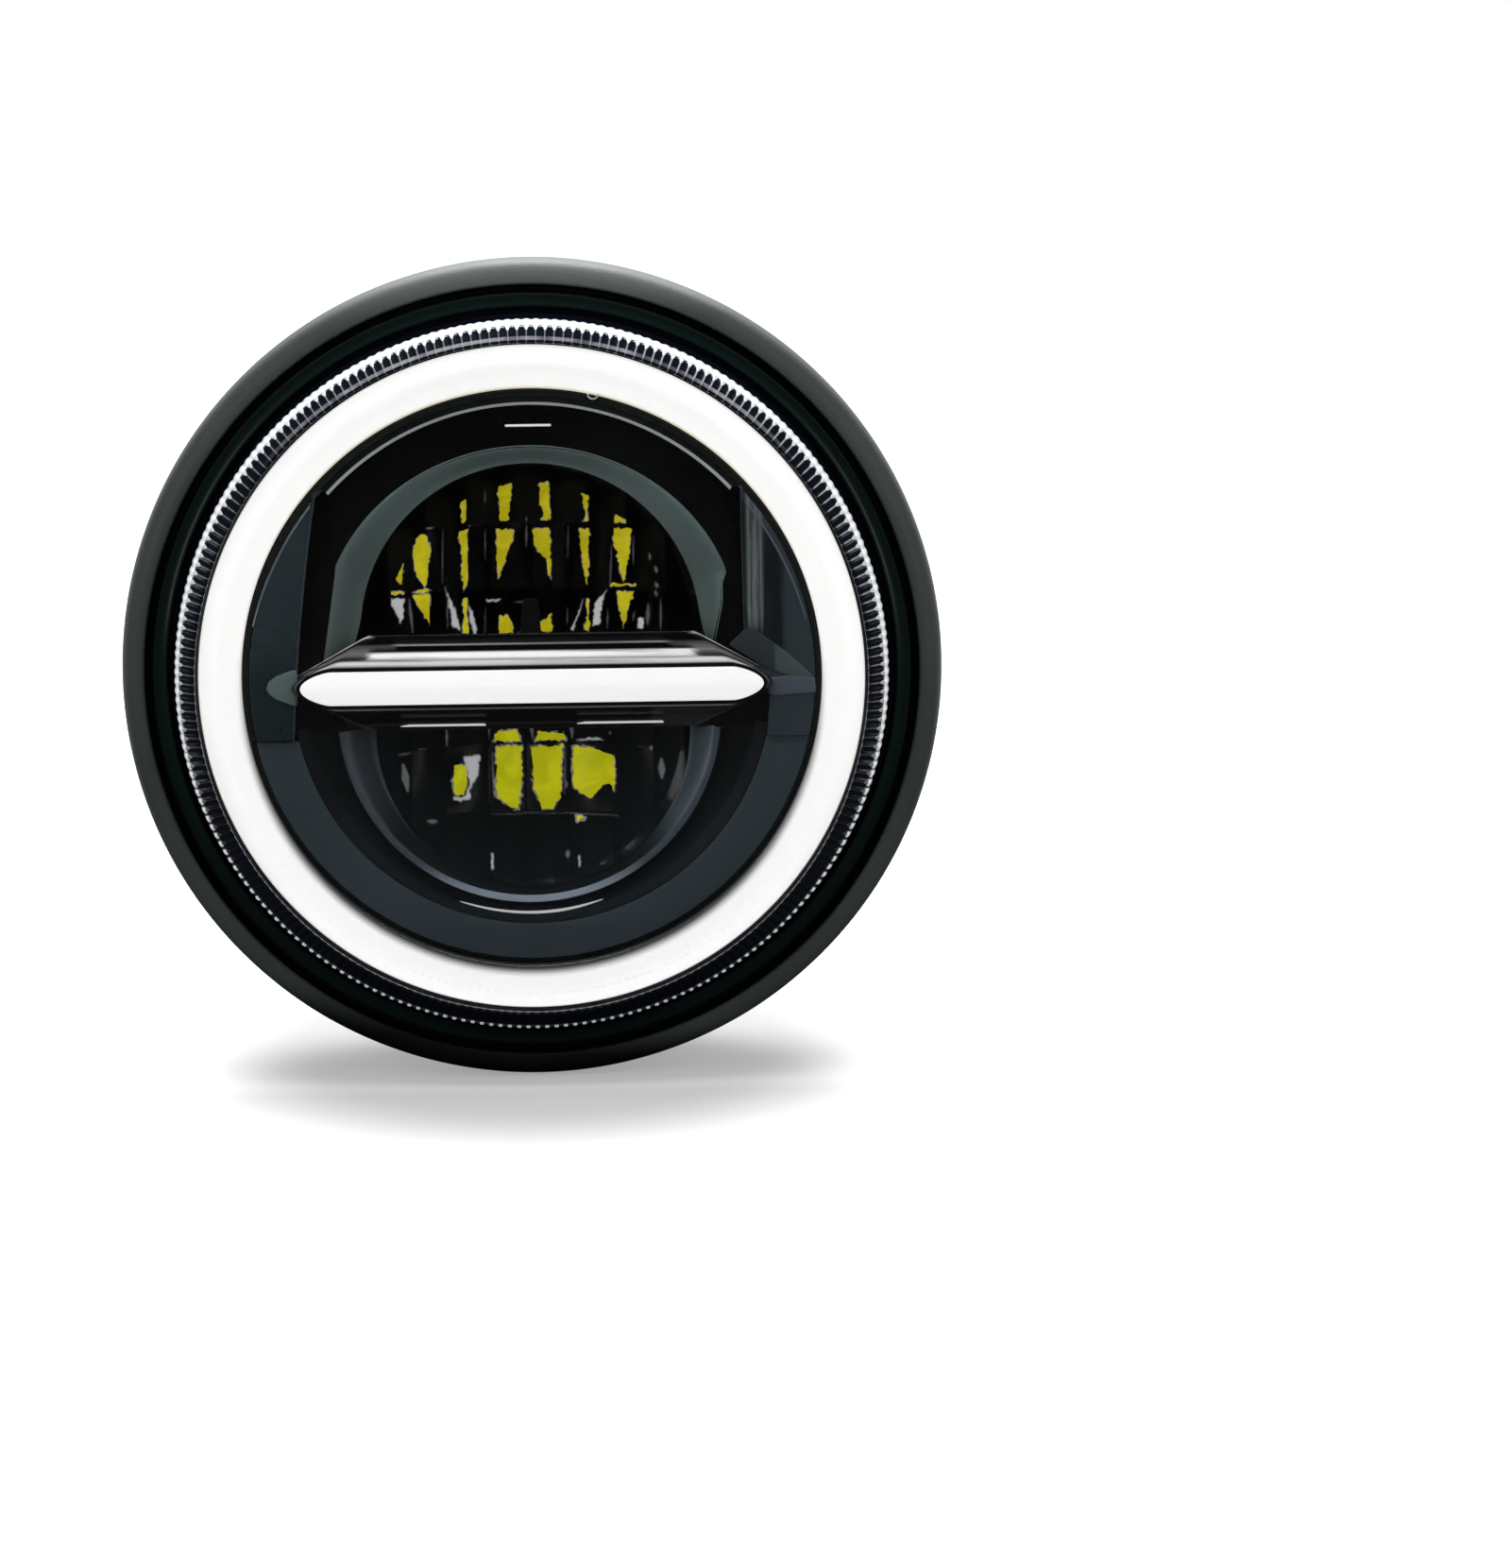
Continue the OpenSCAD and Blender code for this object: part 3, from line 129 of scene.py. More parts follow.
def lower_arc(x, z, r, angle):
    """The bottom of a circle about (x, z), from the height of angle on its left to its right."""
    return arc(x, z, r, 180 - angle, 360 + angle, 120)


def join_rows(bm, rows, closed=False):
    """Faces between each row of vertices and the next. A closed row's end joins its start."""
    for here, there in zip(rows, rows[1:]):
        for k in range(len(here) if closed else len(here) - 1):
            n = (k + 1) % len(here)
            bm.faces.new((here[k], here[n], there[n], there[k]))


def lathe(name, profile, segments=256, wave=None, sharp=40):
    """Turns (radius, depth) points about the optical axis. wave(angle, radius, depth) may move one."""
    bm = bmesh.new()
    rows = []
    for i in range(segments):
        a = 2 * math.pi * i / segments
        moved = [wave(a, r, d) if wave else (r, d) for r, d in profile]
        rows.append([bm.verts.new(at(r * math.cos(a), r * math.sin(a), d)) for r, d in moved])
    join_rows(bm, rows + rows[:1], True)
    return finish_mesh(bm, name, sharp)


def rounded(points, r, steps=3):
    """The closed outline with each corner rounded to radius r, or less where a side is short."""
    result = []
    count = len(points)
    for i, point in enumerate(points):
        p = Vector(point)
        before = Vector(points[i - 1]) - p
        after = Vector(points[(i + 1) % count]) - p
        angle = before.angle(after, 0)
        if angle > math.radians(172) or before.length < 1e-6 or after.length < 1e-6:
            result.append(tuple(p))
            continue
        cut = min(r / math.tan(angle / 2), before.length * 0.45, after.length * 0.45)
        start = p + before.normalized() * cut
        end = p + after.normalized() * cut
        for k in range(steps + 1):
            t = k / steps
            result.append(tuple(start * (1 - t) ** 2 + p * 2 * t * (1 - t) + end * t**2))
    return result


def plate(name, outline, d_front, thickness, bevel=0.15, sharp=35):
    """A flat plate drawn as an (x, z) outline, with bevelled edges."""
    curve = bpy.data.curves.new(name, "CURVE")
    curve.dimensions = "2D"
    curve.fill_mode = "BOTH"
    half = thickness / 2
    curve.extrude = max(half - bevel, 0) * MM
    curve.bevel_depth = bevel * MM
    curve.bevel_resolution = 2
    curve.offset = -bevel * MM
    line = curve.splines.new("POLY")
    line.points.add(len(outline) - 1)
    for point, (x, z) in zip(line.points, outline):
        point.co = (x * MM, z * MM, 0, 1)
    line.use_cyclic_u = True
    holder = bpy.data.objects.new(name, curve)
    bpy.context.scene.collection.objects.link(holder)
    bpy.context.view_layer.update()
    mesh = bpy.data.meshes.new_from_object(holder.evaluated_get(bpy.context.evaluated_depsgraph_get()))
    bpy.data.objects.remove(holder)
    bpy.data.curves.remove(curve)
    # The curve's own plane is (x, y); here y becomes up and z the depth in front of the rim plane.
    middle = RIM_Y - d_front + half
    turn = Matrix(((1, 0, 0, 0), (0, 0, -1, middle * MM), (0, 1, 0, 0), (0, 0, 0, 1)))
    mesh.transform(turn)
    bm = bmesh.new()
    bm.from_mesh(mesh)
    bpy.data.meshes.remove(mesh)
    return finish_mesh(bm, name, sharp)


def add_plate(name, outline, d_front, thickness, bevel, finish, sharp=35):
    """Adds a plate of the lamp."""
    return add_object(name, plate(name, outline, d_front, thickness, bevel, sharp), finish)


def ease(t):
    return t * t * (3 - 2 * t)


def held(value):
    """The value, kept between 0 and 1."""
    return min(max(value, 0.0), 1.0)


def band(name, outer, inner, finish, steps=12, curve=None, back=1.2):
    """A lofted sheet between two outlines with as many points: (points, depth) each. curve(t) gives
    the share of the way in depth at share t of the way across. Its rear is back mm behind."""
    (a, da), (b, db) = outer, inner
    rows = []
    for k in range(steps + 1):
        t = k / steps
        d = da + (db - da) * (curve(t) if curve else t)
        rows.append([at(p[0] + (q[0] - p[0]) * t, p[1] + (q[1] - p[1]) * t, d) for p, q in zip(a, b)])
    rear = [[v + Vector((0, back * MM, 0)) for v in row] for row in rows]
    bm = bmesh.new()
    verts = [[bm.verts.new(v) for v in row] for row in rows + rear[::-1]]
    join_rows(bm, verts + verts[:1])
    open_ended = finish_mesh(bm, name, 50)
    bm = bmesh.new()
    bm.from_mesh(open_ended)
    bmesh.ops.holes_fill(bm, edges=[e for e in bm.edges if e.is_boundary])
    bpy.data.meshes.remove(open_ended)
    return add_object(name, finish_mesh(bm, name, 50), finish)


def soften(bm, offset, segments):
    """Rounds all the edges in bm."""
    bmesh.ops.bevel(bm, geom=bm.edges[:], offset=offset * MM, segments=segments, affect="EDGES", profile=0.5)


# ---------------------------------------------------------------- material tools


def new_group(name, inputs, outputs):
    """An empty shader node group with float inputs {name: default} and float outputs. Gives the
    group, what its inputs carry and where its outputs are filled."""
    group = bpy.data.node_groups.new(name, "ShaderNodeTree")
    group.interface.new_socket("Vector", in_out="INPUT", socket_type="NodeSocketVector")
    for label, value in inputs.items():
        socket = group.interface.new_socket(label, in_out="INPUT", socket_type="NodeSocketFloat")
        socket.default_value = value
    for label in outputs:
        group.interface.new_socket(label, in_out="OUTPUT", socket_type="NodeSocketFloat")
    return group, group.nodes.new("NodeGroupInput").outputs, group.nodes.new("NodeGroupOutput").inputs


def math_node(tree, operation, *values):
    node = tree.nodes.new("ShaderNodeMath")
    node.operation = operation
    for socket, value in zip(node.inputs, values):
        if isinstance(value, (int, float)):
            socket.default_value = value
        else:
            tree.links.new(value, socket)
    return node.outputs[0]


def product(tree, first, *others):
    for other in others:
        first = math_node(tree, "MULTIPLY", first, other)
    return first


def greatest(tree, first, *others):
    for other in others:
        first = math_node(tree, "MAXIMUM", first, other)
    return first


def from_middle(tree, a, b):
    """The distance of (a, b) from (0, 0)."""
    return math_node(tree, "SQRT", math_node(tree, "ADD", product(tree, a, a), product(tree, b, b)))


def ramp(tree, value, low, high, out_low=0.0, out_high=1.0, smooth=True):
    """Maps value from low..high to out_low..out_high, held at the ends."""
    node = tree.nodes.new("ShaderNodeMapRange")
    node.interpolation_type = "SMOOTHSTEP" if smooth else "LINEAR"
    tree.links.new(value, node.inputs["Value"])
    limits = {"From Min": low, "From Max": high, "To Min": out_low, "To Max": out_high}
    for label, limit in limits.items():
        node.inputs[label].default_value = limit
    return node.outputs["Result"]


def light_path(tree):
    return tree.nodes.new("ShaderNodeLightPath").outputs


def surface_group():
    """Grain, and a mask of soft smudges, from two noises."""
    group, given, result = new_group(
        "surface_finish", {"Grain": 900.0, "Smudge": 22.0}, ("Height", "Smudges"))
    clouds = []
    for scale, detail, roughness, distortion in (("Grain", 3, 0.6, 0.0), ("Smudge", 4, 0.55, 0.6)):
        cloud = group.nodes.new("ShaderNodeTexNoise")
        group.links.new(given["Vector"], cloud.inputs["Vector"])
        group.links.new(given[scale], cloud.inputs["Scale"])
        for label, value in (("Detail", detail), ("Roughness", roughness), ("Distortion", distortion)):
            cloud.inputs[label].default_value = value
        clouds.append(cloud.outputs["Fac"])
    group.links.new(clouds[0], result["Height"])
    group.links.new(ramp(group, clouds[1], 0.38, 0.66), result["Smudges"])
    return group


def ring_marks_group():
    """Count marks spaced round the optical axis: a wave round it, a band about one radius, and the
    radius itself in mm."""
    group, given, result = new_group(
        "ring_marks", {"Count": 236.0, "Radius": 80.0, "Band": 1.0}, ("Wave", "Band", "Radius"))
    split = group.nodes.new("ShaderNodeSeparateXYZ")
    group.links.new(given["Vector"], split.inputs[0])
    x, _, z = split.outputs
    turn = product(group, math_node(group, "ARCTAN2", z, x), given["Count"])
    wave = math_node(group, "MULTIPLY_ADD", math_node(group, "COSINE", turn), 0.5, 0.5)
    radius = product(group, from_middle(group, x, z), 1 / MM)
    off = math_node(group, "ABSOLUTE", math_node(group, "SUBTRACT", radius, given["Radius"]))
    share = math_node(group, "DIVIDE", off, given["Band"])
    group.links.new(wave, result["Wave"])
    group.links.new(radius, result["Radius"])
    group.links.new(ramp(group, share, 1.0, 0.7), result["Band"])
    return group


SURFACE = surface_group()
RING_MARKS = ring_marks_group()


class Finish:
    """A material under construction: its node tree, its Principled shader and its coordinates."""

    def __init__(self, name, colour, roughness, metallic=0.0, **sockets):
        self.material = bpy.data.materials.new(name)
        self.material.use_nodes = True
        self.material.diffuse_color = (*colour, 1.0)
        self.tree = self.material.node_tree
        self.shader = self.tree.nodes["Principled BSDF"]
        self.shader.inputs["Base Color"].default_value = (*colour, 1.0)
        for label, value in {"Roughness": roughness, "Metallic": metallic, **sockets}.items():
            self.shader.inputs[label.replace("_", " ")].default_value = value
        self.coords = self.tree.nodes.new("ShaderNodeTexCoord").outputs["Object"]
        self.base = colour

    def place(self, group, **values):
        """Places a node group with its own values, and gives its outputs."""
        node = self.tree.nodes.new("ShaderNodeGroup")
        node.node_tree = group
        self.tree.links.new(self.coords, node.inputs["Vector"])
        for label, value in values.items():
            node.inputs[label].default_value = value
        return node.outputs

    def axis(self):
        """The coordinates' x, y and z outputs, in metres."""
        split = self.tree.nodes.new("ShaderNodeSeparateXYZ")
        self.tree.links.new(self.coords, split.inputs[0])
        return split.outputs

    def attribute(self, name):
        """The value that the mesh's vertices carry under a name."""
        node = self.tree.nodes.new("ShaderNodeAttribute")
        node.attribute_name = name
        return node.outputs["Fac"]

    def streaks(self, scale, detail, roughness=0.5):
        """Noise with its own scale along each axis."""
        stretch = self.tree.nodes.new("ShaderNodeMapping")
        stretch.inputs["Scale"].default_value = scale
        self.tree.links.new(self.coords, stretch.inputs["Vector"])
        cloud = self.tree.nodes.new("ShaderNodeTexNoise")
        for label, value in (("Scale", 1.0), ("Detail", detail), ("Roughness", roughness)):
            cloud.inputs[label].default_value = value
        self.tree.links.new(stretch.outputs[0], cloud.inputs["Vector"])
        return cloud.outputs["Fac"]

    def blend(self, mask, under, over):
        """Mixes over in where mask is 1. Each colour is a tuple or a node's output."""
        mix = self.tree.nodes.new("ShaderNodeMix")
        mix.data_type = "RGBA"
        self.tree.links.new(mask, mix.inputs["Factor"])
        for label, colour in (("A", under), ("B", over)):
            if isinstance(colour, tuple):
                mix.inputs[label].default_value = (*colour, 1.0)
            else:
                self.tree.links.new(colour, mix.inputs[label])
        return mix.outputs["Result"]

    def tint(self, mask, colour):
        """Mixes colour over what the surface has so far, where mask is 1."""
        self.base = self.blend(mask, self.base, colour)
        self.tree.links.new(self.base, self.shader.inputs["Base Color"])

    def glow(self, colour, strength):
        self.tree.links.new(colour, self.shader.inputs["Emission Color"])
        self.shader.inputs["Emission Strength"].default_value = strength

    def bump(self, height, depth):
        """Raises the surface by height, to a depth in mm."""
        node = self.tree.nodes.new("ShaderNodeBump")
        node.inputs["Distance"].default_value = depth * MM
        self.tree.links.new(height, node.inputs["Height"])
        self.tree.links.new(node.outputs["Normal"], self.shader.inputs["Normal"])

    def grain(self, scale, rough_low, rough_high, depth=0.0, **values):
        """Grain of a depth in mm, and smudges that vary the roughness. Gives the smudges."""
        marks = self.place(SURFACE, Grain=float(scale), **values)
        rough = ramp(self.tree, marks["Smudges"], 0, 1, rough_low, rough_high, False)
        self.tree.links.new(rough, self.shader.inputs["Roughness"])
        if depth:
            self.bump(marks["Height"], depth)
        return marks["Smudges"]

    def show(self, share, first, second):
        """Makes the surface a mix of two shaders, with a share of the second."""
        mix = self.tree.nodes.new("ShaderNodeMixShader")
        for socket, value in zip(mix.inputs, (share, first, second)):
            self.tree.links.new(value, socket)
        self.tree.links.new(mix.outputs[0], self.tree.nodes["Material Output"].inputs["Surface"])


def worn(name, colour, other, roughness, spread, scale, depth, metallic=0.0, **sockets):
    """A finish with grain of a given depth in mm, and smudges that vary its tone and gloss."""
    finish = Finish(name, colour, roughness, metallic, **sockets)
    finish.tint(finish.grain(scale, roughness - spread / 2, roughness + spread / 2, depth), other)
    return finish


def graded(name, upper, lower, z_high, z_low, roughness, shine=0.3):
    """A finish whose tone changes between two heights, in metres."""
    finish = Finish(name, upper, roughness, Specular_IOR_Level=shine)
    finish.tint(ramp(finish.tree, finish.axis()["Z"], z_high, z_low), lower)
    finish.grain(800, roughness - 0.05, roughness + 0.05, 0.01)
    return finish


def lit_white(name, colour, strength):
    """A pale surface that also glows a little."""
    plain, smudged = (tuple(share * c for c in colour) for share in (0.66, 0.63))
    finish = worn(name, plain, smudged, 0.35, 0.08, 200, 0.004)
    finish.shader.inputs["Emission Color"].default_value = (*colour, 1)
    finish.shader.inputs["Emission Strength"].default_value = strength
    return finish


# ---------------------------------------------------------------- materials


def rim_paint():
    """Satin black paint, with painted light that makes it paler along the top of the ring and on its lower
    flanks, and painted shade that makes it near black along the front of its inner edge and across the very
    bottom.
    """
    finish = Finish("rim_black_paint", (0.035, 0.046, 0.045), 0.6)
    tree = finish.tree
    x, y, z = finish.axis()
    finish.tint(finish.grain(1500, 0.56, 0.64, 0.1), (0.042, 0.054, 0.051))
    # painted light: paler along the top of the ring
    finish.tint(ramp(tree, z, 0.083, 0.094), (0.082, 0.097, 0.096))
    # painted light: paler on the lower flanks
    finish.tint(ramp(tree, z, -0.02, -0.06), (0.056, 0.07, 0.07))
    # painted shade: near black along the front of the inner edge
    lip = ramp(tree, from_middle(tree, x, z), 0.0929, 0.0916)
    finish.tint(product(tree, lip, ramp(tree, y, 0.004, -0.002)), (0.001, 0.0012, 0.0012))
    # painted shade: near black across the bottom, reaching a little higher on the left
    aslant = math_node(tree, "ADD", z, product(tree, x, 0.12))
    finish.tint(ramp(tree, aslant, -0.079, -0.092), (0.002, 0.003, 0.003))
    return finish


def clear_lens():
    """Clear polycarbonate. Shadow rays pass straight through it."""
    finish = Finish("clear_polycarbonate", (1, 1, 1), 0.02, Transmission_Weight=1.0, IOR=1.45)
    finish.grain(60, 0.01, 0.04)
    through = finish.tree.nodes.new("ShaderNodeBsdfTransparent")
    finish.show(light_path(finish.tree)["Is Shadow Ray"], finish.shader.outputs[0], through.outputs[0])
    return finish


BLACK_PAINT = rim_paint()
LENS = clear_lens()
BAR = lit_white("bar_white_diffuser", (0.95, 0.95, 0.95), 0.66)
BUCKET = worn("bucket_black_plastic", (0.012, 0.0125, 0.012), (0.017, 0.0175, 0.017), 0.5, 0.08, 1300, 0.05)
PLATED = worn("zinc_plated_steel", (0.55, 0.56, 0.57), (0.42, 0.43, 0.42), 0.32, 0.16, 700, 0.02, 1.0)
SCREW = worn("blackened_screw", (0.03, 0.03, 0.032), (0.05, 0.048, 0.045), 0.38, 0.15, 900, 0.02, 0.6)
STEEL = worn("turned_steel", (0.5, 0.51, 0.52), (0.4, 0.41, 0.42), 0.28, 0.14, 600, 0.02, 1.0)
BRASS = worn("turned_brass", (0.66, 0.46, 0.16), (0.5, 0.34, 0.12), 0.3, 0.15, 600, 0.02, 1.0)
RUBBER = worn("black_rubber", (0.012, 0.012, 0.012), (0.02, 0.02, 0.019), 0.6, 0.14, 900, 0.06)
SEAL = worn("seal_rubber", (0.6, 0.6, 0.57), (0.5, 0.5, 0.47), 0.6, 0.1, 700, 0.03)
CASTING = worn("cast_aluminium", (0.16, 0.165, 0.17), (0.11, 0.115, 0.12), 0.5, 0.15, 500, 0.12, 0.7)
COVER = worn("cover_black_plastic", (0.014, 0.014, 0.015), (0.02, 0.02, 0.02), 0.45, 0.12, 900, 0.05)
BOARD = worn("white_circuit_board", (0.62, 0.64, 0.6), (0.5, 0.53, 0.5), 0.4, 0.1, 300, 0.01)
LED = worn("led_phosphor", (0.62, 0.5, 0.03), (0.5, 0.4, 0.02), 0.35, 0.1, 900, 0.01)
ALUMINIUM = worn("bare_aluminium", (0.6, 0.61, 0.62), (0.5, 0.5, 0.5), 0.35, 0.15, 400, 0.03, 1.0)
DARK = worn("dark_shield_plastic", (0.003, 0.004, 0.0035), (0.005, 0.006, 0.005), 0.3, 0.1, 500, 0.01,
            Specular_IOR_Level=0.15)
CABLE = worn("lead_rubber", (0.011, 0.011, 0.011), (0.018, 0.018, 0.017), 0.5, 0.12, 700, 0.03)

FLUTES = 236

# ---------------------------------------------------------------- trim ring and gloss surround


def make_trim_ring():
    """The rolled ring: a barrel flank that runs into the front roll, in sheet, with its four lugs."""
    rim_r, sheet, flank_r, roll_r = 98, 0.9, 45, 5
    flank_c, roll_d = rim_r - flank_r, 5.5
    roll_c = flank_c + math.sqrt((flank_r - roll_r) ** 2 - roll_d**2)
    lean = math.degrees(math.asin(roll_d / (flank_r - roll_r)))
    faces = []
    for inset in (0, sheet):
        skirt = [(rim_r - 0.4 - inset, -SKIRT + 0.25), (rim_r - 0.2 - inset, -4)]
        flank = arc(flank_c, 0, flank_r - inset, 0, lean, 6)
        faces.append(skirt + flank + arc(roll_c, roll_d, roll_r - inset, lean, 92, 28)[1:])
    outside, inside = faces
    end = ((outside[-1][0] + inside[-1][0]) / 2 - 0.35, (outside[-1][1] + inside[-1][1]) / 2)
    hem = (rim_r - 0.4 - sheet / 2, -SKIRT)
    ring = lathe("rim_shell", outside + [end] + inside[::-1] + [hem], 360, sharp=60)
    piece = add_object("rim_shell", ring, BLACK_PAINT)
    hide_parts("trim_ring")
    bm = bmesh.new()
    for angle in (60, 120, 200, 340):
        turn = Matrix.Rotation(math.radians(angle), 4, (0, -1, 0))
        for vert in bmesh.ops.create_cube(bm, size=1)["verts"]:
            x, y, z = vert.co
            across = turn @ Vector(((93.6 + x * 6.4) * MM, 0, y * 10 * MM))
            vert.co = across + Vector((0, (RIM_Y - 2.2 - z * 5.9) * MM, 0))
    soften(bm, 0.5, 2)
    add_object("rim_lugs", finish_mesh(bm, "rim_lugs"), BLACK_PAINT)


def surround_finish():
    """Gloss black, with a faint green reflection painted on the bottom of its hollow."""
    finish = Finish("gloss_black_plastic", (0.0012, 0.0016, 0.0018), 0.22, Specular_IOR_Level=0.12)
    tree = finish.tree
    radius = finish.place(RING_MARKS)["Radius"]
    # painted reflection: a faint green ring at the bottom of the hollow
    hollow = product(tree, ramp(tree, radius, 86.6, 87.4), ramp(tree, radius, 90.2, 89.6))
    finish.tint(hollow, (0.0062, 0.0145, 0.0135))
    finish.grain(400, 0.18, 0.26, 0.004)
    return finish


SURROUND = surround_finish()


def make_surround():
    """The gloss black ring between the trim ring and the lens, with its hollow."""
    profile = [(86.4, 6.3), (86.4, 8.2)] + arc(86.9, 8.2, 0.5, 180, 90, 4)[1:]
    profile += arc(89.1, 11.2, 3.2, 240, 338, 18)
    profile += [(92.3, 10.1), (92.42, 9.3), (92.75, 9.1), (92.75, 6.3)]
    piece = add_object("surround", lathe("surround", profile, 360, sharp=50), SURROUND)
    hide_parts("surround_ring")


# ---------------------------------------------------------------- lens


def fluted(depth):
    """A wave for lathe() that raises a rib at each flute of the crown."""

    def wave(angle, r, d):
        if not 79.2 < r < 85.4:
            return r, d
        lift = depth * (0.5 + 0.5 * math.cos(FLUTES * angle)) ** 0.8
        return r + 0.6 * lift, d + 0.5 * lift

    return wave


def crown_finish():
    """Dark clear plastic over a dark wall, with painted highlights: light ribs over the upper part, a grey
    arc near the dome's edge high up, and bright teeth at the outer edge above the middle.
    """
    finish = Finish("crown_navy", (0.005, 0.007, 0.012), 0.16, Coat_Weight=0.1, Specular_IOR_Level=0.2)
    tree = finish.tree
    marks = finish.place(RING_MARKS, Count=float(FLUTES), Radius=81.0, Band=2.3)
    smudges = finish.grain(200, 0.08, 0.18, Smudge=60.0)
    wave, radius = marks["Wave"], marks["Radius"]
    x, _, z = finish.axis()
    # painted highlight on the flutes' ribs over the upper part, weaker at the very top and towards the left
    high = product(tree, ramp(tree, z, -0.02, 0.03), ramp(tree, z, 0.0815, 0.074, 0.12, 1.0),
                   ramp(tree, x, -0.06, 0.03, 0.3, 1.0))
    within = ramp(tree, radius, 83.9, 83.6)
    inside = product(tree, ramp(tree, radius, 80.0, 80.6), within)
    finish.tint(product(tree, ramp(tree, wave, 0.84, 0.97), high, inside), (0.3, 0.31, 0.34))
    # painted highlight: a grey arc near the dome's edge, high up
    arc_off = math_node(tree, "ABSOLUTE", math_node(tree, "SUBTRACT", radius, 80.5))
    painted_arc_highlight = product(tree, ramp(tree, arc_off, 0.48, 0.3), ramp(tree, z, 0.05, 0.068))
    finish.tint(product(tree, painted_arc_highlight, ramp(tree, smudges, 0.0, 0.8, 0.25, 1.0)), (0.27, 0.275, 0.3))
    # painted highlight: bright teeth at the outer edge of the flutes, above the middle
    threshold = ramp(tree, radius, 82.2, 83.3, 0.95, 0.25, False)
    tooth = ramp(tree, math_node(tree, "SUBTRACT", wave, threshold), 0.0, 0.15)
    finish.tint(product(tree, tooth, within, ramp(tree, z, -0.05, 0.02)), (0.75, 0.77, 0.8))
    return finish


def bead_finish():
    """The fluted corner of the crown, painted white and glowing a little as a bright highlight: white ribs
    with darker gaps, wider apart low down.
    """
    finish = Finish("crown_bead_painted_highlight", (0.86, 0.88, 0.9), 0.3)
    tree = finish.tree
    marks = finish.place(RING_MARKS, Count=float(FLUTES), Radius=84.2, Band=2.0)
    low = ramp(tree, finish.axis()["Z"], -0.08, 0.0, 0.66, -0.03)
    gap = math_node(tree, "SUBTRACT", low, marks["Wave"])
    finish.tint(ramp(tree, gap, -0.08, 0.12), (0.03, 0.035, 0.05))
    # painted highlight: the white ribs glow a little
    finish.glow(finish.base, 0.25)
    return finish


def make_dome():
    """The clear front of the lens, in two skins that meet at its edge."""
    dome_r, apex, wall, edge, rings, steps = 482.0, 32.6, 2.4, 79.4, 40, 256
    radii = [edge * math.sqrt(i / rings) for i in range(1, rings + 1)]
    bm = bmesh.new()
    rims = []
    for back, lift in ((0.0, 0.02), (wall, -0.02)):
        side = [(r, apex - back - dome_r + math.sqrt(dome_r**2 - r**2)) for r in radii]
        rows = []
        for i in range(steps):
            a = 2 * math.pi * i / steps
            rows.append([bm.verts.new(at(r * math.cos(a), r * math.sin(a), d)) for r, d in side])
        hub = bm.verts.new(at(0, 0, side[0][1] + lift))
        for here, there in zip(rows, rows[1:] + rows[:1]):
            bm.faces.new((hub, here[0], there[0]))
        join_rows(bm, rows + rows[:1])
        rims.append([row[-1] for row in rows])
    join_rows(bm, rims, True)
    piece = add_object("lens_dome", finish_mesh(bm, "lens_dome"), LENS)
    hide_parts("lens")


def make_crown():
    """The fluted crown round the dome with its beaded corner, painted bright as a highlight, and the lens's
    wall.
    """
    crown, beads = crown_finish(), bead_finish()
    flutes = [(79.2, 23.6), (79.3, 25.5), (79.65, 25.85), (80.4, 25.15), (81.6, 23.6), (82.7, 22.2)]
    flutes += [(83.3, 21.5), (83.0, 19.0), (82.0, 18.6), (80.2, 21.5)]
    corner = [(83.1, 21.6), (83.4, 21.5), (83.75, 21.0), (83.95, 20.2), (84.1, 18.6), (84.3, 17.0)]
    corner += [(84.0, 16.4), (83.2, 16.4), (82.8, 19.0)]
    parts = (("crown_flutes", flutes, 0.34, crown), ("crown_beads", corner, 0.42, beads))
    for name, profile, depth, finish in parts:
        mesh = lathe(name, profile, FLUTES * 8, wave=fluted(depth), sharp=70)
        add_object(name, mesh, finish)
    wall = [(84.3, 16.6), (85.5, 5.5), (89.0, 5.5), (89.0, 3.0), (83.3, 3.0), (83.3, 5.5), (82.8, 16.6)]
    add_object("lens_wall", lathe("lens_wall", wall, sharp=30), crown)


# ---------------------------------------------------------------- ring light


def halo_finish():
    """Milky plastic, cream at its inner top edge, with a row of small dots round its lower half, painted
    shade along its lower inner edge, and painted light that makes its outer zone paler and glow more towards
    the top.
    """
    finish = Finish("halo_white_diffuser", (0.9, 0.9, 0.89), 0.4)
    tree = finish.tree
    x, _, z = finish.axis()
    dots = finish.place(RING_MARKS, Count=240.0, Radius=75.3, Band=0.28)
    dot = product(tree, ramp(tree, dots["Wave"], 0.6, 0.9), dots["Band"], ramp(tree, z, -0.005, -0.04))
    finish.tint(dot, (0.36, 0.38, 0.36))
    edge = finish.place(RING_MARKS, Count=240.0, Radius=68.3, Band=0.9)
    finish.tint(product(tree, edge["Band"], ramp(tree, z, 0.02, 0.055)), (0.78, 0.74, 0.6))
    # painted shade: the bezel's shadow on the lower inner edge, about a centre a little below the axis
    raised = math_node(tree, "ADD", z, 0.0017)
    shade = ramp(tree, from_middle(tree, x, raised), 0.0699, 0.0672)
    finish.tint(product(tree, shade, ramp(tree, raised, 0.02, -0.02)), (0.02, 0.022, 0.022))
    # painted light: the outer zone paler, and glowing more towards the top
    outer = ramp(tree, dots["Radius"], 72.5, 77.0)
    finish.tint(outer, (0.98, 0.98, 0.975))
    painted_top_glow = product(tree, outer, ramp(tree, raised, -0.04, 0.072))
    finish.glow(finish.blend(painted_top_glow, finish.base, (1.4, 1.4, 1.39)), 0.56)
    finish.grain(700, 0.36, 0.46, 0.01, Smudge=30.0)
    return finish


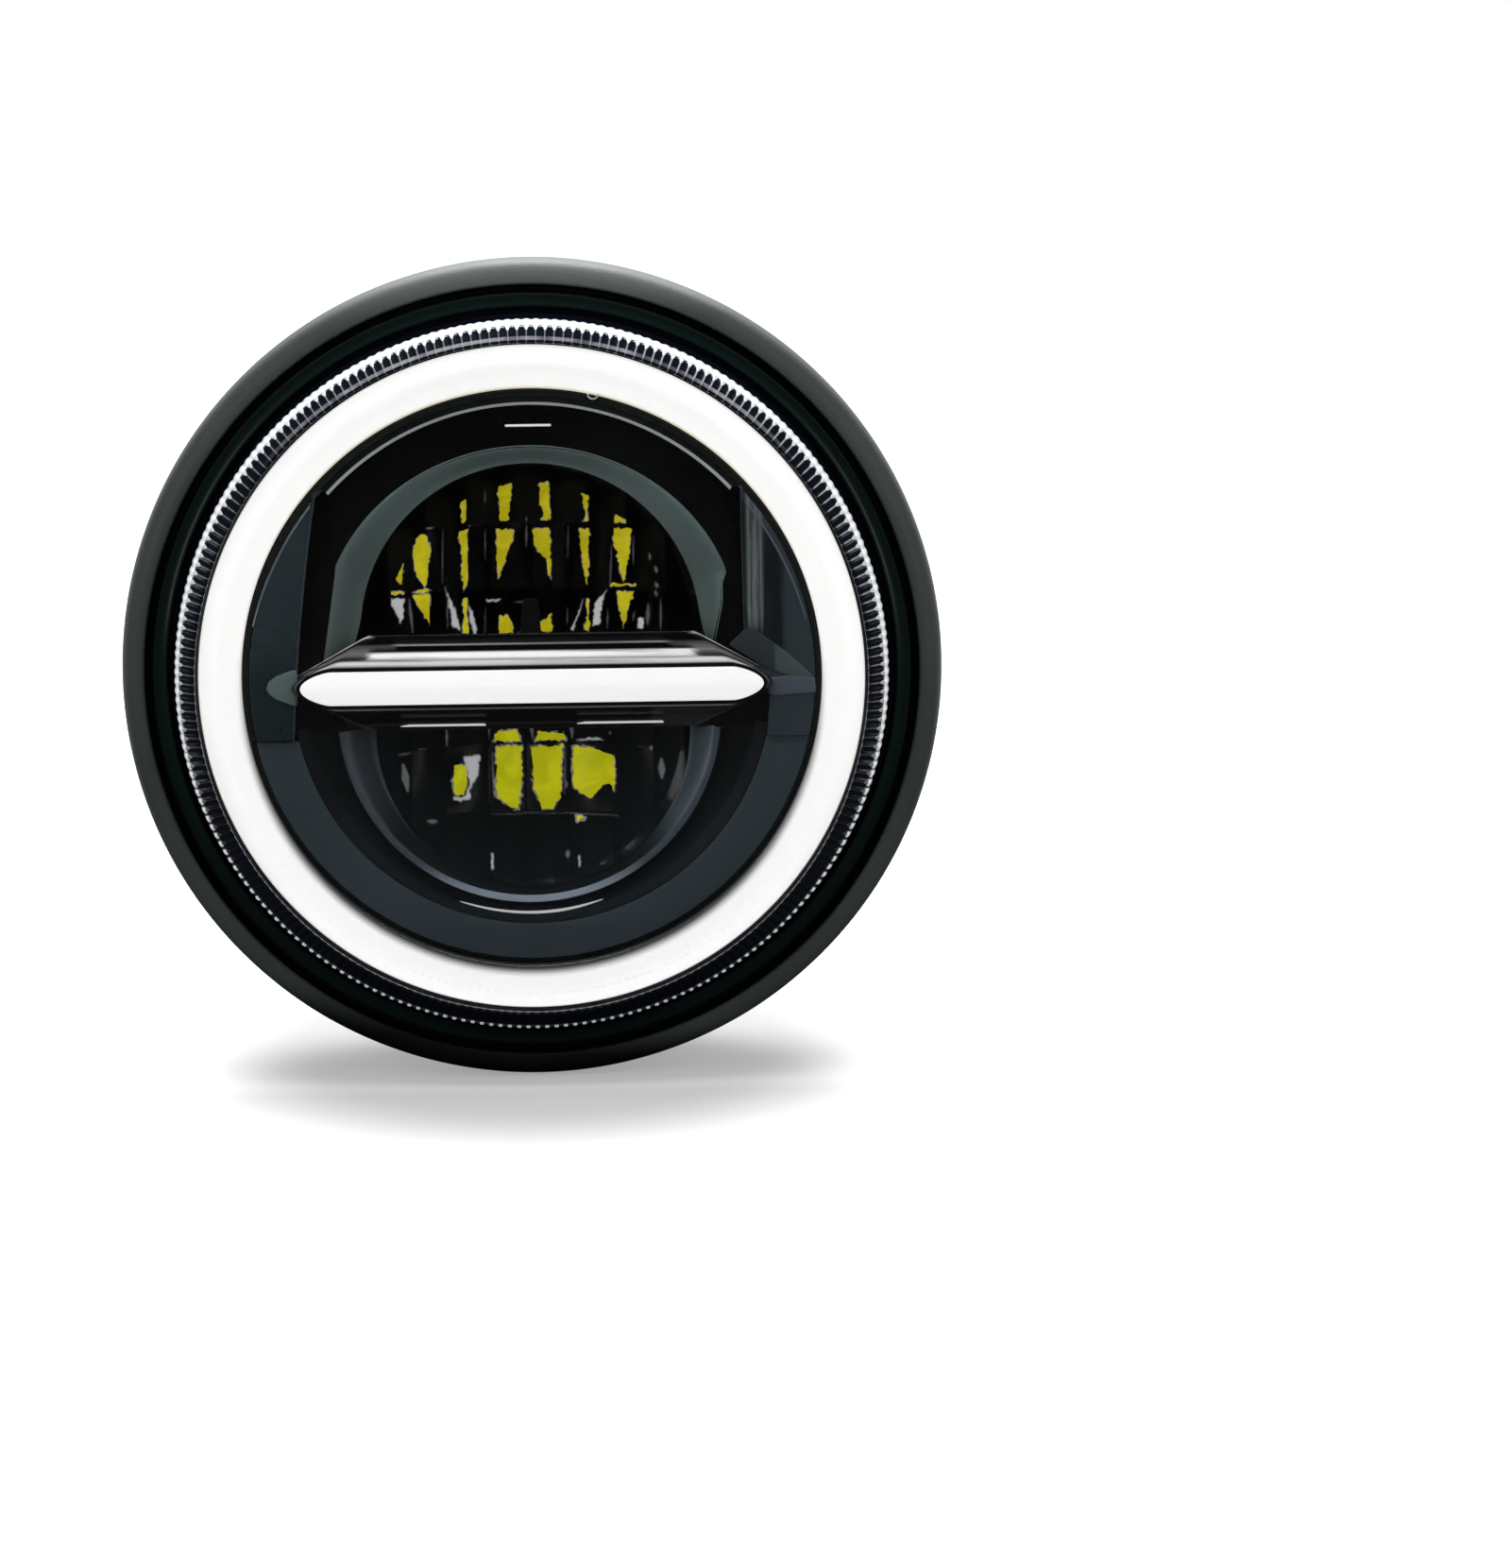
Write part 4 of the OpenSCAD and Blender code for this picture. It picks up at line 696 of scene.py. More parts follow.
def make_halo():
    profile = [(78.5, 19.4), (78.5, 22.1), (78.25, 22.4)]
    profile += [(73.5, 22.5), (68.8, 22.35), (68.45, 22.05), (68.4, 19.4)]
    piece = add_object("halo_ring", lathe("halo_ring", profile, 360, sharp=30), HALO)
    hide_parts("halo_diffuser")


def make_gate_mark():
    """The little half-round moulding mark on the ring light's inner top edge."""
    grey = worn("gate_mark_grey", (0.5, 0.5, 0.48), (0.6, 0.6, 0.58), 0.3, 0.1, 600, 0.005)
    outer, inner = (arc(15.3, 66.9, r, 175, 365, 24) for r in (1.35, 1.0))
    add_plate("gate_mark", outer + inner[::-1], FACE_D + 0.75, 0.7, 0.08, grey)


HALO = halo_finish()

make_trim_ring()
make_surround()
make_dome()
make_crown()
make_halo()

# ---------------------------------------------------------------- inner bezel


BEZEL_R, FACE_D, SUNK_D = 68.0, 22.0, 20.0
WINDOW_X, WINDOW_R, WINDOW_Z = 51.0, 65.2, 0.0
PANEL_LOW, PANEL_TOP, SPLIT_Z = -14.0, 44.6, -11.5
FLARE_R, FLARE_Z, OPEN_R, OPEN_Z = 45.4, 9.5, 40.2, 9.9
LIP_R, LIP_Z, LOW_R, LOW_Z = 45.1, -8.2, 37.2, -14.0
MOAT_R, MOAT_Z = 56.4, -2.0
LIP_X = -0.7


def slate_panel_finish():
    """The right panel: slate, near black except along its outer edge and its lowest part, with soft light
    streaks that are painted reflections, faint over the dark part and lighter near its inner edge.
    """
    finish = Finish("bezel_slate_streaked", (0.03, 0.043, 0.052), 0.3)
    tree = finish.tree
    x, _, z = finish.axis()
    reflection_streak = finish.streaks((1300, 200, 32), 5, 0.7)
    across = product(tree, ramp(tree, x, 0.0503, 0.0515), ramp(tree, x, 0.0552, 0.0538))
    along = product(tree, ramp(tree, z, 0.008, 0.016), ramp(tree, z, 0.047, 0.042))
    raised = math_node(tree, "ADD", z, 0.00176)
    within = ramp(tree, from_middle(tree, x, raised), 0.0668, 0.0658)
    dark = product(tree, ramp(tree, x, 0.0602, 0.0588), ramp(tree, z, 0.001, 0.004), within)
    finish.tint(dark, (0.0035, 0.005, 0.006))
    # painted reflections: faint streaks over the dark part, and light streaks near the inner edge
    finish.tint(product(tree, ramp(tree, reflection_streak, 0.5, 0.66, 0.0, 0.35), dark), (0.05, 0.07, 0.07))
    finish.tint(product(tree, ramp(tree, reflection_streak, 0.36, 0.62, 0.2, 1.0), along, across), (0.17, 0.2, 0.2))
    finish.grain(900, 0.26, 0.36, 0.015)
    return finish


SLATE = worn("bezel_slate", (0.035, 0.051, 0.060), (0.041, 0.056, 0.07), 0.32, 0.08, 1100, 0.012)
# near black, painted shade: the shadow in the gap between the ring light and the bezel's face; also used for
# the barrel and cup behind the face
SLATE_EDGE = worn("bezel_edge_painted_shade", (0.004, 0.006, 0.006), (0.006, 0.008, 0.008), 0.6, 0.08, 900, 0.012,
                  Specular_IOR_Level=0.08)
STREAKED = slate_panel_finish()
WINDOW_BLACK = worn("window_gloss_black", (0.0018, 0.002, 0.0022), (0.003, 0.0036, 0.0034), 0.07, 0.05, 200,
                    0.003)
# painted highlight on the fillet along the window's top edge
ARC_EDGE = lit_white("window_edge_painted_highlight", (0.8, 0.87, 0.93), 0.1)
# painted highlights: thin pale glowing lines where highlights fall on edges
PAINTED_GLINT = lit_white("painted_glint_line", (0.93, 0.96, 0.98), 0.36)
CRESCENT = worn("crescent_olive", (0.0055, 0.0075, 0.0055), (0.0085, 0.0105, 0.0075), 0.4, 0.1, 700, 0.012,
                Specular_IOR_Level=0.2)
# painted highlight: the lighter tone along each side panel's bevelled outer edge
RIDGE = worn("panel_ridge_painted_highlight", (0.09, 0.115, 0.13), (0.065, 0.083, 0.094), 0.35, 0.1, 700, 0.012)
# painted highlight: the lip turns light blue grey along its lowest part
LIP_FINISH = graded("lip_blue_grey_painted_highlight", (0.05, 0.064, 0.08), (0.26, 0.31, 0.37), -0.043, -0.052, 0.3)
FLARE_SLATE = graded("lower_flare_slate", (0.038, 0.052, 0.064), (0.006, 0.0095, 0.011), -0.022, -0.04, 0.45)
PANEL_SLATE = graded("panel_slate", (0.025, 0.038, 0.044), (0.013, 0.021, 0.025), 0.012, -0.002, 0.32)
SLATE_DARK = graded("bezel_slate_dark", (0.0025, 0.0045, 0.006), (0.005, 0.008, 0.0105), -0.024, -0.036,
                    0.65, 0.1)
# painted reflection: the upper flare's grey green, paler towards its top as painted light
FLARE_PAINTED_REFLECTION = graded("flare_grey_painted_reflection", (0.19, 0.265, 0.262), (0.1, 0.138, 0.134), 0.05, 0.02, 0.45)
FACET_SLATE = worn("facet_slate", (0.026, 0.033, 0.038), (0.031, 0.039, 0.044), 0.32, 0.08, 900, 0.01)
FACET_SLATE.tint(ramp(FACET_SLATE.tree, FACET_SLATE.axis()["X"], 0.0571, 0.0574), (0.062, 0.086, 0.086))
flare_x, _, flare_z = FLARE_SLATE.axis()
lit_side = product(FLARE_SLATE.tree, ramp(FLARE_SLATE.tree, flare_x, 0.02, 0.036),
                   ramp(FLARE_SLATE.tree, flare_z, -0.046, -0.03))
FLARE_SLATE.tint(lit_side, (0.075, 0.1, 0.12))


def make_bezel_face():
    """The slate ring round the lower half, the thin crescent above the window, and their near-black edge,
    painted shade in the gap at the ring light.
    """
    edge = [(BEZEL_R, 18.6), (BEZEL_R, 20.9), (67.8, 21.4), (67.3, 21.8), (66.6, FACE_D)]
    edge += [(66.3, 21.0), (66.3, 18.6)]
    piece = add_object("bezel_edge", lathe("bezel_edge", edge, 288, sharp=50), SLATE_EDGE)
    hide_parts("inner_bezel")
    r, low = 66.8, PANEL_LOW - 0.25
    outer = lower_arc(0, 0, r, angle_at(low, 0, r))
    inner = lower_arc(0, MOAT_Z, MOAT_R, angle_at(low, MOAT_Z, MOAT_R))
    add_plate("lower_face", rounded(outer + inner[::-1], 0.4), FACE_D, 2.2, 0.2, SLATE)
    outer = upper_arc(0, 0, r, angle_at(PANEL_TOP, 0, r), 72)
    inner = upper_arc(0, WINDOW_Z, WINDOW_R, angle_at(PANEL_TOP, WINDOW_Z, WINDOW_R), 72)
    inner = [(x, min(z, math.sqrt(max(65.9**2 - x * x, 1)))) for x, z in inner]
    add_plate("upper_crescent", outer + inner[::-1], FACE_D - 0.3, 1.6, 0.1, CRESCENT)
    # the window's top edge, with a painted highlight
    lower = [(x * 0.991, z - 0.72) for x, z in inner]
    band("window_arc_edge", (inner, FACE_D - 0.25), (lower, FACE_D - 0.9), ARC_EDGE, steps=3, back=0.8)


def arch_outline(low, inset=0.0):
    """The outer edge of the grey arch: wider than it is tall, with legs that are nearly straight."""
    points = []
    for x, z in upper_arc(0, FLARE_Z, FLARE_R - inset, angle_at(low, FLARE_Z, FLARE_R)):
        x = 1.086 * x - 0.3
        right = 45.2 - inset - 0.22 * max(0.0, 17 - z)
        left = -45.8 + inset - 0.15 * max(0.0, 26 - z) - 0.4 * max(0.0, z - 26)
        points.append((max(min(x, right + 0.4 * max(0.0, z - 22)), left), z))
    return points


def window_side(sign):
    """The window's side edge from its upper corner down: bowed on the left, nearly upright on the
    right, where it turns out under the flat facet to meet the moat."""
    if sign > 0:
        return [(49.6, PANEL_TOP), (49.9, 20.0), (50.2, 8.0), (56.2, -2.5), (55.2, PANEL_LOW)]
    points = []
    for i in range(9):
        s = i / 8
        points.append((-(50.0 + 6.2 * s + 3.4 * s * (1 - s)), PANEL_TOP + (PANEL_LOW - PANEL_TOP) * s))
    return points


def make_window():
    """The sunk gloss black window round the upper flare, and the small line above it, a painted highlight."""
    low, side = -12.4, WINDOW_X + 5.8
    top = upper_arc(0, WINDOW_Z, WINDOW_R - 0.3, angle_at(PANEL_TOP, WINDOW_Z, WINDOW_R), 72)
    outline = [(side, low), (WINDOW_X + 0.6, PANEL_TOP)] + top + [(-WINDOW_X - 0.6, PANEL_TOP), (-side, low)]
    flare = arch_outline(low, 0.5)
    add_plate("window_floor", outline + flare[::-1], SUNK_D, 1.6, 0.1, WINDOW_BLACK)
    # painted highlight: a short bright dash above the window
    line = rounded([(-5.4, 59.3), (5.4, 59.3), (5.4, 59.85), (-5.4, 59.85)], 0.25)
    add_plate("window_line", line, SUNK_D + 0.3, 0.5, 0.1, PAINTED_GLINT)
    for sign, name in ((-1, "window_wall_left"), (1, "window_wall_right")):
        points = window_side(sign)
        outline = points + [(x + sign * 0.5, z) for x, z in points[::-1]]
        add_plate(name, outline, FACE_D + 0.7, 3.0, 0.1, SLATE)


def make_side_panels():
    """The raised slate panels beside the window, each with a bevelled outer edge, lighter as a painted
    highlight, and a low step.
    """
    r = 66.4
    low, top = angle_at(PANEL_LOW, 0, r), angle_at(PANEL_TOP, 0, r) + 0.4
    for sign, name, finish in ((-1, "panel_left", PANEL_SLATE), (1, "panel_right", STREAKED)):
        outer = [(sign * x, z) for x, z in arc(0, 0, r, low, top, 40)]
        inner = [(x + sign * 0.4, z) for x, z in window_side(sign)]
        add_plate(name, outer + inner, FACE_D + 0.8, 2.0, 0.25, finish)
        ridge = [(sign * x, z) for x, z in arc(0, -1.76, 67.2 if sign < 0 else 66.5, 13, 40, 40)]
        inside = [(x - sign * (0.3 + 0.4 * math.sin(math.pi * i / 40)), z) for i, (x, z) in enumerate(ridge)]
        band(name + "_ridge", (ridge, FACE_D + 0.78), (inside, FACE_D + 0.95), RIDGE, steps=2, back=0.3)
        step = [(sign * (WINDOW_X + 6.2), PANEL_LOW + 0.1), (sign * 66.0, PANEL_LOW + 0.1),
                (sign * 65.9, PANEL_LOW - 0.9), (sign * (WINDOW_X + 6.2), PANEL_LOW - 0.9)]
        add_plate(name + "_step", step, FACE_D - 0.1, 1.5, 0.1, WINDOW_BLACK)


def make_flares():
    """The upper arch round the reflector's opening, and the lip, moat and flare of the lower one."""
    low = SPLIT_Z + 6
    b = angle_at(low, OPEN_Z, OPEN_R)
    inner = [(x + math.copysign(0.03 * max(0.0, 15 - z) ** 2, x), z)
             for x, z in upper_arc(-0.25, OPEN_Z, OPEN_R, b)]
    band("upper_flare", (arch_outline(low), SUNK_D + 0.1), (inner, 13.5), FLARE_PAINTED_REFLECTION, curve=ease)
    wide = upper_arc(0, OPEN_Z, (OPEN_R - 0.1) * 1.03, b)
    band("upper_throat", (inner, 13.5), (wide, 10.2), WINDOW_BLACK, steps=4)
    a = angle_at(SPLIT_Z, MOAT_Z, MOAT_R)
    b = angle_at(SPLIT_Z - 0.8, LIP_Z, LIP_R)
    c = angle_at(SPLIT_Z - 0.8, LOW_Z, LOW_R)
    floor_edge = lower_arc(0, MOAT_Z, MOAT_R - 3.4, a)
    lip_foot, lip_out = (lower_arc(LIP_X, LIP_Z, LIP_R + more, b) for more in (0.9, 0))
    lip_in = lower_arc(LIP_X, LIP_Z + 0.2, LIP_R - 1.4, b)
    opening, throat = (lower_arc(0, LOW_Z, LOW_R + more, c) for more in (0, 1.0))
    band("moat_slope", (lower_arc(0, MOAT_Z, MOAT_R, a), FACE_D), (floor_edge, 20.0), SLATE_DARK, curve=ease)
    band("moat_floor", (floor_edge, 20.0), (lip_foot, 19.8), SLATE_DARK)
    band("lip_wall", (lip_foot, 19.8), (lip_out, 21.9), SLATE_DARK, steps=6, curve=ease)
    band("lower_lip", (lip_out, 21.9), (lip_in, 21.5), LIP_FINISH, steps=6, curve=lambda t: t * t)
    band("lower_flare", (lip_in, 21.5), (opening, 13.0), FLARE_SLATE, curve=ease)
    band("lower_throat", (opening, 13.0), (throat, 10.2), WINDOW_BLACK, steps=4)
    # painted highlight: a bright line along the moat
    line = arc(-1, LIP_Z - 2, 46.2, 180 + 68.5, 180 + 111.5, 40)
    inner_line = [(x, z + 0.12 + 0.62 * math.sin(math.pi * i / 40) ** 0.5) for i, (x, z) in enumerate(line)]
    band("moat_line", (line, 20.6), (inner_line, 21.0), PAINTED_GLINT, steps=2, back=0.5)


def make_bezel_barrel():
    """The barrel behind the face, which shades the ring light from the inside of the lamp."""
    profile = [(BEZEL_R, 18.6), (BEZEL_R, 14.4), (77.5, 14.2), (77.5, -8.0), (76.2, -8.0), (76.2, 13.0)]
    profile += [(66.8, 13.2), (66.8, 18.6)]
    add_object("bezel_barrel", lathe("bezel_barrel", profile, 192, sharp=30), SLATE_EDGE)
    wall = arch_outline(SPLIT_Z + 4, -0.6)
    band("upper_cup", (wall, 19.0), (wall, 10.2), SLATE_EDGE, steps=2, back=0.4)


def make_right_facet():
    """The flat slate facet that rises beside the right tip of the bar's frame."""
    outline = [(51.0, 11.7), (52.6, 11.0), (59.5, 5.9), (66.4, -0.4), (61.8, -0.6), (55.0, 1.9), (46.6, 7.4)]
    add_plate("right_facet", rounded(outline, 0.3), FACE_D + 1.0, 2.0, 0.15, FACET_SLATE)


make_bezel_face()
make_window()
make_side_panels()
make_flares()
make_bezel_barrel()
make_right_facet()

# ---------------------------------------------------------------- bar light

BAR_Z, BAR_HALF, BAR_TIP, BAR_CORNER = -1.5, 3.95, 54.5, 47.5
FRAME_TIP, FRAME_CORNER, FRAME_HALF, FRAME_BELOW = 60.0, 38.5, 12.0, 0.883
SILL_Z = -10.9
BORDER = 0.65


def blunt_bar(margin, samples=96):
    """Half-outline of the lit bar from its left tip to its right one, with rounded blunt ends."""
    tip, half = BAR_TIP + margin, BAR_HALF + margin
    points = []
    for s in spread_shares(samples):
        x = share_to_x(s, BAR_CORNER, tip)
        u = max(0.0, (abs(x) - BAR_CORNER) / (tip - BAR_CORNER))
        points.append((x, half * max(0.0, 1 - u**1.3) ** 0.52))
    return points


def hexagon_bar(samples=96):
    """Half-outline of the frame's base: a long hexagon with its tips at the sides."""
    points = []
    for s in spread_shares(samples):
        x = share_to_x(s, FRAME_CORNER, FRAME_TIP)
        u = max(0.0, (abs(x) - FRAME_CORNER) / (FRAME_TIP - FRAME_CORNER))
        points.append((x, FRAME_HALF * (1 - u)))
    return points


def spread_shares(samples):
    """Shares from -1 to 1, closer together near the ends."""
    return [math.sin(math.pi / 2 * (2 * i / samples - 1)) for i in range(samples + 1)]


def share_to_x(s, corner, tip, knee=0.78):
    """Maps a share to x so that the corners of all the outlines have the same share."""
    size = abs(s)
    x = size / knee * corner if size <= knee else corner + (size - knee) / (1 - knee) * (tip - corner)
    return math.copysign(x, s)


def whole(half, below=1.0):
    """A closed outline about the bar's axis from its upper half."""
    return [(x, BAR_Z + z) for x, z in half] + [(x, BAR_Z - z * below) for x, z in half[::-1][1:-1]]


def frame_finish():
    """Chrome of the bar's frame: black, with painted reflections as bright glowing bands along it that waver
    a little.
    """
    finish = Finish("frame_chrome_painted_reflections", (0.0012, 0.0012, 0.0015), 0.2, Specular_IOR_Level=0.1)
    tree = finish.tree
    waver = ramp(tree, finish.streaks((26, 300, 900), 4), 0.3, 0.55, 0.55, 1.0)
    # painted reflections: bright glowing bands along the frame
    finish.tint(product(tree, finish.attribute("shine"), waver), (0.86, 0.87, 0.88))
    finish.grain(300, 0.15, 0.25)
    finish.glow(finish.base, 0.45)
    return finish


# rows of the frame: share of the way in, depth, brightness of the painted reflections on the upper side, the
# lower one and the ends, and how far from the middle the ends take over
FRAME_ROWS = [
    (0.0, 19.4, 0, 0, 0, 37), (0.0, 20.2, 0, 0, 0.25, 37), (0.03, 20.4, 0, 0.01, 0.6, 37),
    (0.07, 20.5, 0, 0, 0.5, 37),
    (0.1, 20.55, 0, 0, 0.02, 37), (0.27, 20.7, 0.01, 0.01, 0, 31), (0.29, 20.76, 0.22, 0, 0.02, 31),
    (0.33, 20.88, 0.25, 0, 0.05, 31), (0.35, 20.95, 0, 0, 0.06, 31), (0.5, 21.3, 0, 0, 0.12, 37),
    (0.52, 21.5, 0.1, 0, 0.15, 37), (0.54, 21.75, 0.5, 0, 0.17, 37), (0.57, 22.1, 0.95, 0, 0.16, 37),
    (0.64, 22.7, 1.0, 0, 0.06, 37), (0.7, 23.1, 0.75, 0, 0.02, 37), (0.74, 23.5, 0.45, 0, 0.02, 38),
    (0.765, 23.65, 0.25, 0, 0.1, 42), (0.785, 23.75, 0.6, 0, 0.3, 44), (0.83, 24.1, 0.64, 0, 0.42, 45),
    (0.88, 24.4, 0.55, 0.02, 0.5, 45), (0.925, 24.6, 0.36, 0.16, 0.4, 45), (0.95, 24.75, 0.06, 0.1, 0.05, 45),
    (1.0, 24.8, 0, 0, 0, 45), (1.0, 22.4, 0, 0, 0, 45), (0.9, 22.0, 0, 0, 0, 45), (0.5, 20.2, 0, 0, 0, 45),
    (0.12, 19.4, 0, 0, 0, 45),
]


def frame_painted_reflection(x, z, row):
    """Brightness of the painted reflections on the frame at one vertex of a row, where z is that of the
    frame's outline.
    """
    t, _, upper, lower, end, taken_over = row
    side = ease(held((z - BAR_Z) / 6 + 0.35))
    ends = ease(held((abs(x) - taken_over) / 2.2))
    if z < BAR_Z and t < 0.12:
        lower = max(lower, 0.03 * ends)
    if z < BAR_Z and x > 28:
        lower = max(lower, 0.012)
    fade = 1 - 0.75 * ease(held((abs(x) - 51) / 5))
    return (lower + (upper + (end - upper) * ends - lower) * side) * fade


FRAME_PAINTED_REFLECTIONS = frame_finish()
BORDER_BLACK = worn("bar_border_black", (0.002, 0.002, 0.002), (0.003, 0.003, 0.003), 0.5, 0.1, 500, 0.005,
                    Specular_IOR_Level=0.1)
TIP_SLATE = worn("frame_tip_slate", (0.065, 0.082, 0.105), (0.074, 0.092, 0.115), 0.4, 0.08, 900, 0.012)
TIP_GREY = worn("frame_tip_grey", (0.11, 0.15, 0.15), (0.125, 0.17, 0.17), 0.35, 0.08, 900, 0.012)


def make_frame():
    """The stepped frame of the bar, its reflections painted on as bright bands."""
    base, inner = whole(hexagon_bar(), FRAME_BELOW), whole(blunt_bar(BORDER))
    bm = bmesh.new()
    # each vertex carries the brightness of its painted reflection
    layer = bm.verts.layers.float.new("shine")
    grid = []
    for stage in FRAME_ROWS:
        t, d = stage[:2]
        row = []
        for a, b in zip(base, inner):
            x, z = a[0] + (b[0] - a[0]) * t, a[1] + (b[1] - a[1]) * t
            vert = bm.verts.new(at(x, z, d))
            vert[layer] = frame_painted_reflection(x, a[1], stage)
            row.append(vert)
        grid.append(row)
    join_rows(bm, grid + grid[:1], True)
    piece = add_object("bar_frame_bright", finish_mesh(bm, "bar_frame_bright", 28), FRAME_PAINTED_REFLECTIONS)
    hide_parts("bar_frame")


def make_bar():
    """The frame's black border, the lit diffuser, the tips at its ends and the lines on the sill, which are
    painted highlights.
    """
    edge, rim = whole(blunt_bar(0.05)), whole(blunt_bar(BORDER + 0.25))
    band("bar_border", (rim + rim[:1], 24.83), (edge + edge[:1], 24.95), BORDER_BLACK, steps=3, back=1.5)
    piece = add_plate("bar_lit", whole(blunt_bar(0)), 25.4, 2.8, 0.25, BAR, 50)
    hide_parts("bar_diffuser")
    left = [(-62.5, BAR_Z), (-61.9, 0.2), (-60.2, 1.5), (-57.5, 2.5), (-55.2, 3.1)]
    left += [(-55.2, -5.9), (-57.5, -5.1), (-60.2, -4.1), (-61.9, -2.8)]
    add_plate("frame_tip_left", rounded(left, 0.8), FACE_D + 1.25, 1.5, 0.3, TIP_GREY)
    right = [(55.6, -0.6), (61.5, 0.0), (66.6, -0.5), (66.8, -4.2), (57.0, -4.9), (55.6, -4.4)]
    add_plate("frame_tip_right", rounded(right, 0.8), FACE_D + 1.1, 1.5, 0.3, TIP_SLATE)
    # painted highlights: bright lines along the sill under the bar
    sills = (("sill_line_left", -31.8, -10.9, SILL_Z), ("sill_line_right", 9.8, 31.0, SILL_Z + 0.1))
    for name, x0, x1, z in sills:
        line = rounded([(x0, z - 0.24), (x1, z - 0.24), (x1 - 0.5, z + 0.24), (x0 + 2.6, z + 0.24)], 0.15)
        add_plate(name, line, 21.6, 1.2, 0.1, PAINTED_GLINT)


# ---------------------------------------------------------------- reflectors

SHIFT = -1.02  # the reflectors' facets and what they show sit a little left of the axis


def reflector_finish(name, dark, metal, yellow_tone, warm_tone, margin):
    """Dark chrome facets with painted reflections: where they look at the LEDs, the LEDs' yellow with a pale
    margin, and on their edges thin pale glints, all glowing. Only direct rays see what is painted."""
    finish = Finish(name, dark, 0.12, metal, Specular_IOR_Level=0.2)
    tree = finish.tree
    smudges = finish.grain(120, 0.08, 0.16, 0.01, Smudge=160.0)
    painted_led_reflection, path = finish.attribute("painted_led_reflection"), light_path(tree)
    bounced = math_node(tree, "SUBTRACT", path["Is Glossy Ray"], path["Is Transmission Ray"])
    direct = math_node(tree, "SUBTRACT", 1.0, math_node(tree, "MAXIMUM", bounced, 0.0))
    # painted reflections: the LEDs' yellow, its pale margin and the thin glints
    lit = product(tree, ramp(tree, painted_led_reflection, 0.42, 0.58), direct)
    round_it = product(tree, ramp(tree, painted_led_reflection, margin, margin + 0.12, 0.0, 0.75),
                       ramp(tree, smudges, 0.1, 0.5), direct)
    shine = product(tree, finish.attribute("glint"), direct)
    finish.tint(round_it, (0.3, 0.27, 0.25))
    finish.tint(lit, yellow_tone)
    finish.tint(product(tree, lit, smudges), warm_tone)
    finish.tint(shine, (0.4, 0.41, 0.43))
    glowing = greatest(tree, lit, shine, round_it)
    tree.links.new(ramp(tree, glowing, 0, 1, metal, 0), finish.shader.inputs["Metallic"])
    finish.glow(finish.blend(glowing, (0, 0, 0), finish.base), 0.75)
    return finish


def shape_share(x, z, corners):
    """How far (x, z) lies inside a shape given by its corners, in mm; negative outside."""
    near, inside = 99.0, False
    for (x0, z0), (x1, z1) in zip(corners, corners[1:] + corners[:1]):
        dx, dz = x1 - x0, z1 - z0
        t = held(((x - x0) * dx + (z - z0) * dz) / (dx * dx + dz * dz))
        near = min(near, math.hypot(x - x0 - dx * t, z - z0 - dz * t))
        if (z0 > z) != (z1 > z) and x < x0 + dx * (z - z0) / dz:
            inside = not inside
    return near if inside else -near


def most_inside(x, z, shapes, waver):
    """The greatest share of (x, z) in any of the shapes, whose edges waver a little."""
    x += waver * noise.noise(Vector((x * 1.1, z * 1.2, 1.7)))
    z += waver * noise.noise(Vector((x * 1.3, z * 0.9, 5.2)))
    best = -1.0
    for corners in shapes:
        if min(c[0] for c in corners) - 1 < x < max(c[0] for c in corners) + 1:
            if min(c[1] for c in corners) - 1 < z < max(c[1] for c in corners) + 1:
                best = max(best, shape_share(x, z, corners))
    return best


def line_share(x, z, line):
    """How far (x, z) lies inside one thin glint from (x0, z0) to (x1, z1)."""
    x0, z0, x1, z1, width = line
    if not (min(x0, x1) - 1 < x < max(x0, x1) + 1 and min(z0, z1) - 1 < z < max(z0, z1) + 1):
        return -1.0
    p, a, b = Vector((x, z)), Vector((x0, z0)), Vector((x1, z1))
    along = held((p - a).dot(b - a) / (b - a).length_squared)
    near = (p - a.lerp(b, along)).length
    waver = 0.12 * noise.noise(Vector((x * 2.2, z * 1.1, 9.0)))
    return width / 2 * (1.1 - 0.7 * abs(2 * along - 1)) - near + waver


